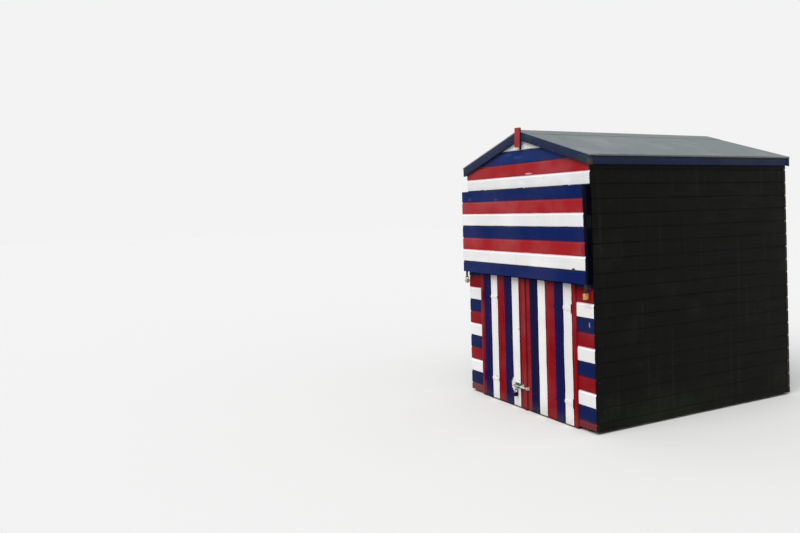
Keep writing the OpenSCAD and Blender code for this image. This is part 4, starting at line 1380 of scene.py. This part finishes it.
@dataclass
class FrontWall:
    """Striped boards beside, over and above the doorway, and the facings on the door posts.

    Attributes:
        shop: The workshop.
        step: Spacing of the stations along a short board.
        panel_x: Inner edge of the panels beside the doors.
        facing_x: Inner edge of the boards over the facings.
        stud_x: Places of the upright timbers behind the panels.
        gable_stud_x: Places of the upright timbers behind the gable.
        board_count: Boards from the ground up to the gable.
        gable_count: Boards of the gable that take nails.
        rot_reach: How far up the rot gets.
    """

    shop: Workshop
    step: float = 12 * MM
    panel_x: float = 0.690
    facing_x: float = 0.649
    stud_x: tuple[float, ...] = (0.652, 0.862)
    gable_stud_x: tuple[float, ...] = (0.02, 0.31, 0.60, 0.862)
    board_count: int = 17
    gable_count: int = 4
    rot_reach: float = 20 * MM

    def boards(
        self,
        edges: tuple[float, float],
        low: float,
        high: float,
        seed: int,
        joint: float = FIRST_JOINT_Z,
        pitch: float = BOARD_PITCH,
    ) -> Mesh:
        """Stack the boards between two edges and cut the stack to a height.

        Args:
            edges: X of the left and right edge.
            low: Lower cut.
            high: Upper cut.
            seed: Seed of the stack.
            joint: Height of one joint between boards.
            pitch: Cover height of a board.

        Returns:
            The mesh of the boards.
        """
        first = math.floor((low - joint) / pitch + 1e-6)
        count = math.ceil((high - joint) / pitch - 1e-6) - first
        length = edges[1] - edges[0]
        spots = stations(length, self.step if length < 1.0 else 2.5 * self.step)
        start = (edges[0], FRONT_Y, joint + first * pitch)
        layout = Layout(count, pitch, Finish.FRONT, (0.0, 0.35 * MM, 0.0), 2.2 * MM, seed)
        mesh = self.shop.run("front", weatherboard(pitch, WALL_T), start, FRONT_AXES, spots, layout)
        clip(mesh, [(low, DOWN), (high, UP)])
        return mesh

    def panel(self, side: Side) -> None:
        """Build the panel beside the doors on one side.

        Args:
            side: The side.
        """
        sign = side.value
        low = self.boards((self.panel_x, HALF_W), BOARDS_BOTTOM, DOOR_TOP, 11 + sign)
        rot(low, BOARDS_BOTTOM, self.rot_reach, 3.7 * sign, 0.5 if side is Side.RIGHT else 0.0)
        high = self.boards((self.facing_x, HALF_W), DOOR_TOP, GABLE_BOTTOM, 21 + sign)
        node = f"front_panel_{side.label}"
        mesh = joined(node, [low, high])
        if side is Side.LEFT:
            mesh.transform(Matrix.Scale(-1, 4, ACROSS))
            mesh.flip_normals()
        finishes = (Finish.FRONT, Finish.TIMBER_X)
        boarded(f"{node}_boards", mesh, finishes, INWARD, "root", node)

    def gable(self) -> None:
        """Build the gable boards, cut under the slopes of the roof."""
        mesh = self.boards((-HALF_W, HALF_W), GABLE_BOTTOM, RIDGE_Z, 31, GABLE_JOINT_Z, GABLE_PITCH)
        clip(mesh, under_roof(Side.RIGHT, Side.LEFT))
        finishes = (Finish.GABLE, Finish.TIMBER_X)
        boarded("gable_boards", mesh, finishes, INWARD, "root", "front_gable_boards")

    def nails(self) -> None:
        """Set the nails of the panels and the gable, painted with the boards."""
        low = nail_heights(FIRST_JOINT_Z, BOARD_PITCH, self.board_count)
        inner = {z: self.panel_x if z < DOOR_TOP else self.facing_x for z in low}
        panels = [(x, z) for z in low for x in self.stud_x if x > inner[z]]
        high = nail_heights(GABLE_JOINT_Z, GABLE_PITCH, self.gable_count)
        gable = [(x, z) for z in high for x in self.gable_stud_x if z < roof_z(x, NAIL_UNDER_ROOF)]
        for name, finish, rows in (
            ("panel_board_nails", Finish.FRONT, panels),
            ("gable_board_nails", Finish.GABLE, gable),
        ):
            points = [((side.value * x, FRONT_Y, z), OUT) for x, z in rows for side in Side]
            self.shop.heads(name, "root", points, finish, 3.2 * MM, 0.22, 7)

    def build(self) -> None:
        """Build every piece of the front wall."""
        for side in Side:
            self.panel(side)
        self.gable()
        worked("post_facings", "door_post_facings", 2.5 * MM, "root", "red_paint", Finish.FACING)
        self.nails()


@dataclass
class PlainWalls:
    """Black-stained weatherboards of the two sides and the back.

    Attributes:
        shop: The workshop.
        step: Spacing of the stations along a board.
        side_count: Boards on a side, up to the eaves.
        back_count: Boards on the back, up to the ridge.
        stud_y: Places of the upright timbers behind the sides.
        stud_x: Places of the upright timbers behind the back.
        rot_reach: How far up the rot gets.
    """

    shop: Workshop
    step: float = 40 * MM
    side_count: int = 19
    back_count: int = 22
    stud_y: tuple[float, ...] = (-1.161, -1.117, -0.3722, 0.3722, 1.117, 1.161)
    stud_x: tuple[float, ...] = (0.8615, 0.2872)
    rot_reach: float = 12 * MM

    def wall(
        self, name: str, node: str, finishes: tuple[Finish, Finish], start: tuple[float, float], axes: Axes,
        length: float, slack: float, seed: int, damp: float, slopes: Sequence[Side],
    ) -> None:
        """Build one wall.

        Args:
            name: Name of the piece.
            node: Construction node that it stands for.
            finishes: Finish of its face, and finish of its back.
            start: X and Y at which its boards start.
            axes: Directions along the boards, into the hut, and up.
            length: Length of the boards.
            slack: How far a board may be in front of the line or behind it.
            seed: Seed of the boards.
            damp: Start of the noise of the rot.
            slopes: Sides on which the roof slopes down over it.
        """
        count = self.back_count if len(slopes) == 2 else self.side_count
        loose = tuple(abs(value) * slack for value in axes[1])
        layout = Layout(count, BOARD_PITCH, finishes[0], loose, 1.2 * MM, seed)
        section = weatherboard(BOARD_PITCH, WALL_T)
        foot = (*start, FIRST_JOINT_Z - BOARD_PITCH)
        mesh = self.shop.run(name, section, foot, axes, stations(length, self.step), layout)
        clip(mesh, [(BOARDS_BOTTOM, DOWN), *under_roof(*slopes)])
        rot(mesh, BOARDS_BOTTOM, self.rot_reach, damp)
        boarded(name, mesh, finishes, axes[1], "root", node)

    def nails(self) -> None:
        """Set nails over the studs of the sides and the back."""
        points = []
        for z in nail_heights(FIRST_JOINT_Z, BOARD_PITCH, self.back_count):
            if z < roof_z(HALF_W, NAIL_UNDER_ROOF):
                points += [
                    ((side.value * HALF_W, y, z), (side.value, 0, 0)) for y in self.stud_y for side in Side
                ]
            for x in self.stud_x:
                if z < roof_z(x, NAIL_UNDER_ROOF):
                    points += [((side.value * x, BACK_Y, z), INWARD) for side in Side]
        self.shop.heads("plain_wall_nails", "root", points, Finish.SIDE_BOARDS, 3.0 * MM, 0.06, 8)

    def build(self) -> None:
        """Build the sides and the back."""
        end = BACK_Y - WALL_T
        finishes = (Finish.SIDE_BOARDS, Finish.TIMBER_Y)
        for side in Side:
            sign = side.value
            self.wall(
                f"{side.label}_side_boards", f"{side.label}_wall_boards", finishes, (sign * HALF_W, -end),
                (INWARD, (-sign, 0, 0), UP), 2 * end, 0.5 * MM, 41 + sign, 9.1 * sign, (side,),
            )
        self.wall(
            "back_boards", "back_wall_boards", (Finish.BACK_BOARDS, Finish.TIMBER_X), (-HALF_W, BACK_Y),
            (ACROSS, OUT, UP), 2 * HALF_W, 0.5 * MM, 53, 2.3, (Side.RIGHT, Side.LEFT),
        )
        self.nails()


@dataclass
class Doors:
    """The pair of low doors: V-jointed boards, ledges, cover strip, hinges, bolt and keeper.

    Attributes:
        shop: The workshop.
        face_y: Front of the boards.
        bottom: Foot of the boards.
        edge_x: Outer edge of each door.
        narrow: Left edge and width of the narrow board at the meeting edge.
        thickness: Thickness of the boards.
        step: Spacing of the stations along a board.
        hinge_x: Axis of the hinges.
        hinge_z: Heights of the hinges.
        strap_screws: Distances of the screws in a strap from the axis.
        plate_screws: Distances of the screws in a fixed plate from the axis, and their heights.
        worn_x: Where the part of the bar that is rubbed bright starts.
        rot_reach: How far up the rot gets.
    """

    shop: Workshop
    face_y: float = -1.209
    bottom: float = 0.006
    edge_x: float = 0.643
    narrow: tuple[float, float] = (0.028, 0.050)
    thickness: float = 19 * MM
    step: float = 30 * MM
    hinge_x: float = 0.646
    hinge_z: tuple[float, ...] = (0.200, 0.985)
    strap_screws: tuple[float, ...] = (0.040, 0.110, 0.185, 0.255)
    plate_screws: tuple[tuple[float, float], ...] = (
        (0.014, -0.048), (0.027, -0.030), (0.027, 0.030), (0.014, 0.048),
    )
    worn_x: float = -0.062
    rot_reach: float = 7 * MM

    def leaf(self, edge: float, width: float, count: int, finish: Finish, seed: int) -> Mesh:
        """Build boards of equal width, side by side.

        Args:
            edge: Left edge of the first board.
            width: Width of a board.
            count: Number of boards.
            finish: Their finish.
            seed: Seed of the boards and of their rot.

        Returns:
            The mesh of the boards.
        """
        section = vee_board(width, self.thickness, width > 0.06)
        spots = stations(DOOR_TOP - self.bottom, self.step)
        layout = Layout(count, width, finish, (0.0, 0.3 * MM, 0.6 * MM), 1.2 * MM, seed)
        start = (edge, self.face_y, self.bottom)
        mesh = self.shop.run("door", section, start, (UP, INWARD, ACROSS), spots, layout)
        rot(mesh, self.bottom, self.rot_reach, seed)
        return mesh

    def boards(self) -> None:
        """Build the boards of both doors."""
        left = self.leaf(-self.edge_x, LEFT_BOARD_W, 6, Finish.LEFT_DOOR, 61)
        narrow = self.leaf(*self.narrow, 1, Finish.RIGHT_DOOR, 63)
        wide = self.leaf(sum(self.narrow), RIGHT_BOARD_W, 5, Finish.RIGHT_DOOR, 62)
        for body, finish, mesh in (
            ("door_left", Finish.LEFT_DOOR, left),
            ("door_right", Finish.RIGHT_DOOR, joined("right", [narrow, wide])),
        ):
            name = f"{body}_striped_boards"
            finishes = (finish, Finish.TIMBER_Z)
            boarded(name, mesh, finishes, INWARD, body, f"{body}_boards")

    def hinges(self) -> None:
        """Build the strap hinges, painted over with the stripes, and their screws."""
        worked(
            "door_hinge_plates", "door_hinge_fixed_plates", 0.7 * MM, "root", "painted_hinges",
            Finish.LEFT_DOOR, Finish.RIGHT_DOOR, choose=lambda face: face.center.x > 0, segments=1,
        )
        screw_y = self.face_y - 3 * MM
        for side, finish in ((Side.LEFT, Finish.LEFT_STRAPS), (Side.RIGHT, Finish.RIGHT_STRAPS)):
            body = f"door_{side.label}"
            name = f"{body}_hinge_straps"
            worked(f"{body}_straps", name, 0.7 * MM, body, "painted_hinges", finish, segments=1)
            places = [side.value * (self.hinge_x - out) for out in self.strap_screws]
            points = [((x, screw_y, z), OUT) for z in self.hinge_z for x in places]
            name = f"{body}_strap_screws"
            self.shop.heads(name, body, points, finish, 4.5 * MM, 0.15, 71 + side.value, True)
        points = [
            ((side.value * (self.hinge_x + out), screw_y, z + up), OUT)
            for side in Side
            for z in self.hinge_z
            for out, up in self.plate_screws
        ]
        self.shop.heads("door_plate_screws", "root", points, Finish.FACING, 4.5 * MM, 0.15, 73, True)

    def bolt(self) -> None:
        """Build the bolt, its keeper and the padlock on it."""
        plate_y = self.face_y - 4 * MM
        worked(
            "door_left_bolt", "door_bolt", 0.9 * MM, "door_left", "galvanised_steel",
            Finish.GALVANISED, Finish.WORN_BAR, Finish.GREEN_PLATE,
            # The plate behind the bar and its guides takes the darker zinc, as painted shade
            choose=lambda face: 1 if face.center.x > self.worn_x else 2 * (face.center.y > plate_y),
        )
        worked(
            "door_right_keeper", "door_bolt_keeper", 0.9 * MM, "door_right", "galvanised_steel",
            Finish.WORN_BAR, Finish.COVER_STRIP, choose=lambda face: face.center.y > plate_y,
        )
        worked(
            "door_left_padlock", "door_padlock", 1.5 * MM, "door_left", "dark_steel", Finish.DARK_STEEL
        )

    def build(self) -> None:
        """Build every piece of both doors."""
        self.boards()
        strip = "door_left_cover_strip"
        worked(strip, "cover_strip", 2.0 * MM, "door_left", "red_paint", Finish.COVER_STRIP)
        for side in Side:
            body = f"door_{side.label}"
            name = f"{body}_ledges_and_braces"
            worked(f"{body}_ledges", name, 1.5 * MM, body, "bare_timber", Finish.TIMBER_X)
        self.hinges()
        self.bolt()


@dataclass
class Flap:
    """The top-hung flap: striped weatherboards on a frame, its hinges, hasps and padlocks.

    Attributes:
        shop: The workshop.
        face_y: Front of the boards.
        half_w: Half of its width.
        step: Spacing of the stations along a board.
        upright_x: Places of the uprights of its frame.
        nails_up: Heights of the two nails in a board over its lower edge.
        nail_margin: How far the nails stay from the edges of the flap.
        shackle_drop: How far the foot of the shackles is under the flap.
    """

    shop: Workshop
    face_y: float = -1.270
    half_w: float = 0.899
    step: float = 30 * MM
    upright_x: tuple[float, ...] = (-0.877, -0.292, 0.292, 0.877)
    nails_up: tuple[float, float] = (0.026, 0.080)
    nail_margin: float = 12 * MM
    shackle_drop: float = 72.5 * MM

    def boards(self) -> None:
        """Build the six coved boards and the plain one above them."""
        spots = stations(2 * self.half_w, self.step)
        joint = FLAP_TOP - FLAP_TOP_BOARD
        coved = weatherboard(FLAP_PITCH, WALL_T)
        plain = weatherboard(FLAP_TOP_BOARD, WALL_T, False)
        parts = []
        for section, count, foot, slack in (
            (coved, 6, joint - 6 * FLAP_PITCH, 0.25 * MM),
            (plain, 1, joint, 0.0),
        ):
            layout = Layout(count, FLAP_PITCH, Finish.FLAP, (0.0, slack, 0.0), 1.6 * MM, 81)
            start = (-self.half_w, self.face_y, foot)
            parts.append(self.shop.run("flap", section, start, FRONT_AXES, spots, layout))
        clip(parts[0], [(FLAP_BOTTOM, DOWN)])
        mesh = joined("flap", parts)
        shift = self.face_y + 0.7 * MM - min(vert.co.y for vert in mesh.vertices)
        mesh.transform(Matrix.Translation((0, max(0.0, shift), 0)))
        finishes = (Finish.FLAP, Finish.TIMBER_X)
        boarded("flap_striped_boards", mesh, finishes, INWARD, "flap", "flap_boards")

    def nails(self) -> None:
        """Set two painted nails in each board over each upright of the frame."""
        lows = [FLAP_TOP - FLAP_TOP_BOARD - i * FLAP_PITCH for i in range(7)]
        spots = [(x, low + up) for low in lows for x in self.upright_x for up in self.nails_up]
        points = [
            ((x, self.face_y + 1.7 * MM, z), OUT)
            for x, z in spots
            if FLAP_BOTTOM + self.nail_margin < z < FLAP_TOP - self.nail_margin
        ]
        self.shop.heads("flap_board_nails", "flap", points, Finish.FLAP, 3.2 * MM, 0.2, 82)

    def hardware(self) -> None:
        """Build the frame, hinges, hasps, staples and padlocks."""
        shaded_leaves = Finish.LEAVES
        hasp = Finish.HASP_STEEL
        for node, name, arris, finish, body, slot in (
            ("flap_frame", "flap_rails_and_uprights", 2.0 * MM, Finish.CHEEK, "flap", "navy_paint"),
            ("flap_hinge_leaves", "flap_hinge_moving_leaves", 0.6 * MM, shaded_leaves, "flap", "painted_hinges"),
            ("flap_hasps", "flap_locking_hasps", 0.6 * MM, hasp, "flap", "dark_steel"),
            ("flap_staples", "flap_wall_staples", 0.6 * MM, hasp, "root", "dark_steel"),
        ):
            worked(node, name, arris, body, slot, finish, segments=1)
        worked(
            # The plates' knuckles under the gable take that near black, as painted shade in the joint
            "flap_hinge_plates", "flap_hinge_fixed_plates", 0.6 * MM, "root", "painted_hinges",
            Finish.PLATES, shaded_leaves, segments=1,
            choose=lambda face: face.center.z < GABLE_BOTTOM + 1 * MM and abs(face.normal.x) < 0.5,
        )
        shackle_z = FLAP_BOTTOM - self.shackle_drop
        worked(
            "flap_padlocks", "flap_padlock_pair", 1.4 * MM, "flap", "brass",
            Finish.BRASS, Finish.SHACKLE, Finish.ROUND_LOCK,
            choose=lambda face: 1 if face.center.z > shackle_z else 2 * (face.center.x < 0),
        )

    def build(self) -> None:
        """Build every piece of the flap."""
        self.boards()
        self.nails()
        self.hardware()


@dataclass
class Roof:
    """Felted roof: felt, ridge strip, bargeboards, eaves boards, finial and their nails.

    Attributes:
        shop: The workshop.
        edge_x: Distance of the eaves from the middle.
        edge_y: Distance of the gable edges from the middle.
        felt_t: Thickness of the felt.
        felt_fold: How far the felt is folded down over its edges.
        strip_reach: How far the strip over the ridge reaches on each side.
        gable_clouts: Number, first place and spacing of the clout nails on half of a gable edge.
        eaves_clouts: The same on an edge over the eaves.
        strip_clouts: The same on an edge of the strip.
        strip_clout_x: Distance of those from the ridge.
        barge_y: Front of the bargeboards.
        finial_lean: Lean of the finial.
    """

    shop: Workshop
    edge_x: float = 0.924
    edge_y: float = BACK_Y + 0.028
    felt_t: float = 3 * MM
    felt_fold: float = 9 * MM
    strip_reach: float = 0.165
    gable_clouts: tuple[int, float, float] = (11, 0.06, 0.084)
    eaves_clouts: tuple[int, float, float] = (22, -1.17, 0.1115)
    strip_clouts: tuple[int, float, float] = (25, -1.19, 0.099)
    strip_clout_x: float = 0.150
    barge_y: float = -1.228
    finial_lean: float = math.radians(2.5)

    def felt(self) -> None:
        """Lay the felt of both slopes, folded down over its edges, and the strip over the ridge."""
        thickness = self.felt_t - 0.8 * MM
        base = self.sheet("felt", self.edge_x, 0.4 * MM, thickness, self.felt_fold, 3)
        strip = self.sheet("ridge_strip", self.strip_reach, self.felt_t - 0.4 * MM, 2.4 * MM, 0.0, 9)
        piece = place("mineral_felt", joined("mineral_felt", [base, strip]))
        smooth(piece, 40)
        dress(piece, "root", [Finish.FELT], None, "roof_felt")

    def sheet(
        self, name: str, reach: float, lift: float, thickness: float, fold: float, seed: int
    ) -> Mesh:
        """Draw one sheet of felt over the ridge.

        Args:
            name: Name of the mesh.
            reach: How far it reaches from the ridge on each side, measured level.
            lift: Height of its underside above the roof boards.
            thickness: Thickness of the sheet.
            fold: How far it is folded down over the gables and the eaves, or 0 for a sheet that is cut
                flush.
            seed: Start of the ripple.

        Returns:
            The closed mesh.
        """
        levels = 24 if fold else 8
        count = 60
        columns = [(-reach + reach * i / levels, 0.0) for i in range(2 * levels + 1)]
        rows = [(-self.edge_y + 2 * self.edge_y * i / count, 0.0) for i in range(count + 1)]
        if fold:
            columns = [(-reach - lift, -fold), *columns, (reach + lift, -fold)]
            rows = [(-self.edge_y - lift, -fold), *rows, (self.edge_y + lift, -fold)]
        verts = []
        for y, row_drop in rows:
            for x, drop in columns:
                ripple = 0.6 * MM * noise.noise(Vector((x * 3.1 + seed, y * 2.3, 0.0)))
                sag = 0.0 if drop or row_drop else min(0.0, ripple)
                verts.append((x, y, roof_z(min(abs(x), reach)) + lift + drop + row_drop + sag))
        wide = len(columns)
        corners = [i * wide + j for i in range(len(rows) - 1) for j in range(wide - 1)]
        mesh = bpy.data.meshes.new(name)
        mesh.from_pydata(verts, [], [(a, a + 1, a + 1 + wide, a + wide) for a in corners])
        carrier = place(name, mesh)
        thicken = carrier.modifiers.new("thickness", "SOLIDIFY")
        thicken.thickness = thickness
        thicken.offset = 1.0
        thicken.use_even_offset = True
        return settled(name, carrier)

    def clouts(self) -> None:
        """Set clout nails along the folded edges of the felt, and along the strip over the ridge."""
        points = []
        gable_y = self.edge_y + self.felt_t
        fold = 0.5 * self.felt_fold
        for side in (-1, 1):
            for out in spread(*self.gable_clouts):
                z = roof_z(out, fold)
                points += [((side * out, way * gable_y, z), (0, way, 0)) for way in (-1, 1)]
            eaves = (side * (self.edge_x + self.felt_t), roof_z(self.edge_x, fold))
            points += [((eaves[0], y, eaves[1]), (side, 0, 0)) for y in spread(*self.eaves_clouts)]
            x = side * self.strip_clout_x
            upward = Vector((side * SLOPE, 0, 1)).normalized()
            top = roof_z(x) + 5.4 * MM
            points += [((x, y, top), upward) for y in spread(*self.strip_clouts)]
        # The clouts are driven 2.1 mm into the felt
        sunk = [(Vector(point) - Vector(way) * 2.1 * MM, way) for point, way in points]
        self.shop.heads("felt_clout_nails", "root", sunk, Finish.NAIL_GALVANISED, 4.2 * MM, 0.35, 91)

    def trim(self) -> None:
        """Build the bargeboards and eaves boards."""
        for node, name, arris, finish in (
            ("bargeboards_front", "front_bargeboards", 3.0 * MM, Finish.BARGE),
            ("bargeboards_back", "back_bargeboards", 3.0 * MM, Finish.PLAIN_TRIM),
            ("eaves_board_left", "left_eaves_board", 2.0 * MM, Finish.PLAIN_TRIM),
            ("eaves_board_right", "right_eaves_board", 2.0 * MM, Finish.PLAIN_TRIM),
        ):
            worked(node, name, arris, "root", "navy_paint", finish)

    def finial(self) -> None:
        """Build the finial: red on its face, and dark on its sides and on the batten under it."""
        piece = worked(
            "finial", "finial_block_and_batten", 2.5 * MM, "root", "red_paint",
            Finish.FINIAL, Finish.BARGE,
            choose=lambda face: abs(face.normal.x) > 0.8 or face.center.y > self.barge_y + 1 * MM,
        )
        low, high = (Vector(corner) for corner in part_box("finial"))
        middle = (low + high) / 2
        turn = Matrix.Rotation(self.finial_lean, 4, "Y")
        drop = Vector((0, 0, (high.x - low.x) / 2 * math.sin(self.finial_lean) + 0.5 * MM))
        piece.data.transform(Matrix.Translation(middle - drop) @ turn @ Matrix.Translation(-middle))

    def build(self) -> None:
        """Build every piece over the walls that shows from outside."""
        self.felt()
        self.clouts()
        self.trim()
        self.finial()


@dataclass
class Carcass:
    """Framing, floor, bearers and roof boards, which keep the shape of their construction nodes.

    Attributes:
        uprights: Nodes of upright timbers.
        level: Nodes of timbers that run across.
        deep: Nodes of timbers that run from front to back.
    """

    uprights: tuple[str, ...] = ("front_posts", "left_frame", "right_frame", "back_frame")
    level: tuple[str, ...] = ("front_sill", "front_header", "front_gable_frame", "back_gable_frame")
    deep: tuple[str, ...] = ("ridge_beam_timber", "purlins")

    def build(self) -> None:
        """Soften each timber and give it its wood."""
        for nodes, finish, slot in (
            (self.uprights, Finish.TIMBER_Z, "bare_timber"),
            (self.level, Finish.TIMBER_X, "bare_timber"),
            (self.deep, Finish.TIMBER_Y, "bare_timber"),
            (("floor_boards",), Finish.FLOOR_BOARDS, "bare_timber"),
            (("bearers",), Finish.BEARERS, "bearer_timber"),
            (("roof_boards_left", "roof_boards_right"), Finish.ROOF_BOARDS, "bare_timber"),
        ):
            for node in nodes:
                worked(node, f"{node}_timber", 1.5 * MM, "root", slot, finish, segments=1)


@dataclass
class Studio:
    """Pale floor, soft light and the camera at the photograph's viewpoint.

    Attributes:
        eye: Place of the camera.
        yaw: Turn of the camera from +Y towards +X, in radians.
        pitch: Its tilt upwards.
        roll: Its lean.
        focal_px: Focal length in pixels.
        frame_w: Width of the photograph in pixels.
        frame_h: Height of the photograph in pixels.
        middle_px: Pixel that the optical axis passes through.
        sky: Colour of the light from all round.
        sky_strength: Its strength.
        sun: Strength of the soft light from above.
        sun_from: Direction that it comes from.
    """

    eye: tuple[float, float, float] = (5.393, -5.282, 1.835)
    yaw: float = -1.08711
    pitch: float = -0.00843
    roll: float = -0.02599
    focal_px: float = 740.0
    frame_w: int = 800
    frame_h: int = 533
    middle_px: tuple[float, float] = (400.0, 216.55)
    sky: tuple[float, float, float, float] = (0.80, 0.84, 0.90, 1.0)
    sky_strength: float = 0.80
    sun: float = 2.55
    sun_from: tuple[float, float, float] = (0.30, -0.70, 1.0)

    def camera(self) -> None:
        """Set the camera where the photographer stood, with the photograph's framing."""
        level_part = math.cos(self.pitch)
        ahead = Vector(
            (math.sin(self.yaw) * level_part, math.cos(self.yaw) * level_part, math.sin(self.pitch))
        )
        level = Vector((math.cos(self.yaw), -math.sin(self.yaw), 0.0))
        right = math.cos(self.roll) * level + math.sin(self.roll) * level.cross(ahead)
        data = bpy.data.cameras.new("camera")
        data.sensor_width = 36.0
        data.lens = 36.0 * self.focal_px / self.frame_w
        data.shift_x = (self.frame_w / 2 - self.middle_px[0]) / self.frame_w
        data.shift_y = -(self.frame_h / 2 - self.middle_px[1]) / self.frame_w
        data.clip_end = 200.0
        camera = bpy.data.objects.new("camera", data)
        bpy.context.scene.collection.objects.link(camera)
        turn = Matrix((right, right.cross(ahead), -ahead)).transposed().to_4x4()
        camera.matrix_world = Matrix.Translation(self.eye) @ turn
        bpy.context.scene.camera = camera

    def floor(self) -> None:
        """Lay the floor."""
        reach = 60.0
        corners = [(-reach, -reach, 0), (reach, -reach, 0), (reach, reach, 0), (-reach, reach, 0)]
        mesh = bpy.data.meshes.new("floor")
        mesh.from_pydata(corners, [], [(0, 1, 2, 3)])
        mesh.materials.append(StudioGround("pale_floor").build())
        place("floor", mesh)

    def lights(self) -> None:
        """Light the hut as an overcast sky does: from all round, and a little more from above."""
        world = bpy.data.worlds.new("overcast")
        world.use_nodes = True
        tree = world.node_tree
        tree.nodes.clear()
        sky = add(tree, Kind.GLOW, Color=self.sky, Strength=self.sky_strength)
        plain = add(tree, Kind.GLOW, Color=linear("#f2f3f2"), Strength=1.0)
        add(tree, Kind.WORLD, Surface=add(tree, Kind.EITHER, seen_directly(tree), sky, plain))
        bpy.context.scene.world = world
        data = bpy.data.lights.new("soft_sun", "SUN")
        data.energy = self.sun
        data.angle = math.radians(50)
        data.color = (1.0, 0.985, 0.96)
        sun = bpy.data.objects.new("soft_sun", data)
        bpy.context.scene.collection.objects.link(sun)
        sun.rotation_mode = "QUATERNION"
        sun.rotation_quaternion = Vector(self.sun_from).normalized().to_track_quat("Z", "Y")

    def build(self) -> None:
        """Set the camera, floor and lights."""
        self.camera()
        self.floor()
        self.lights()
        bpy.context.scene.view_settings.view_transform = "Standard"


def main() -> None:
    """Build the hut's looks, sub-assembly by sub-assembly."""
    logging.basicConfig(level=logging.INFO, format="%(name)s: %(message)s")
    shop = Workshop()
    for assembly in (
        Studio(), FrontWall(shop), PlainWalls(shop), Doors(shop), Flap(shop), Roof(shop), Carcass()
    ):
        LOG.info("building %s", type(assembly).__name__)
        assembly.build()


if __name__ == "__main__":
    main()
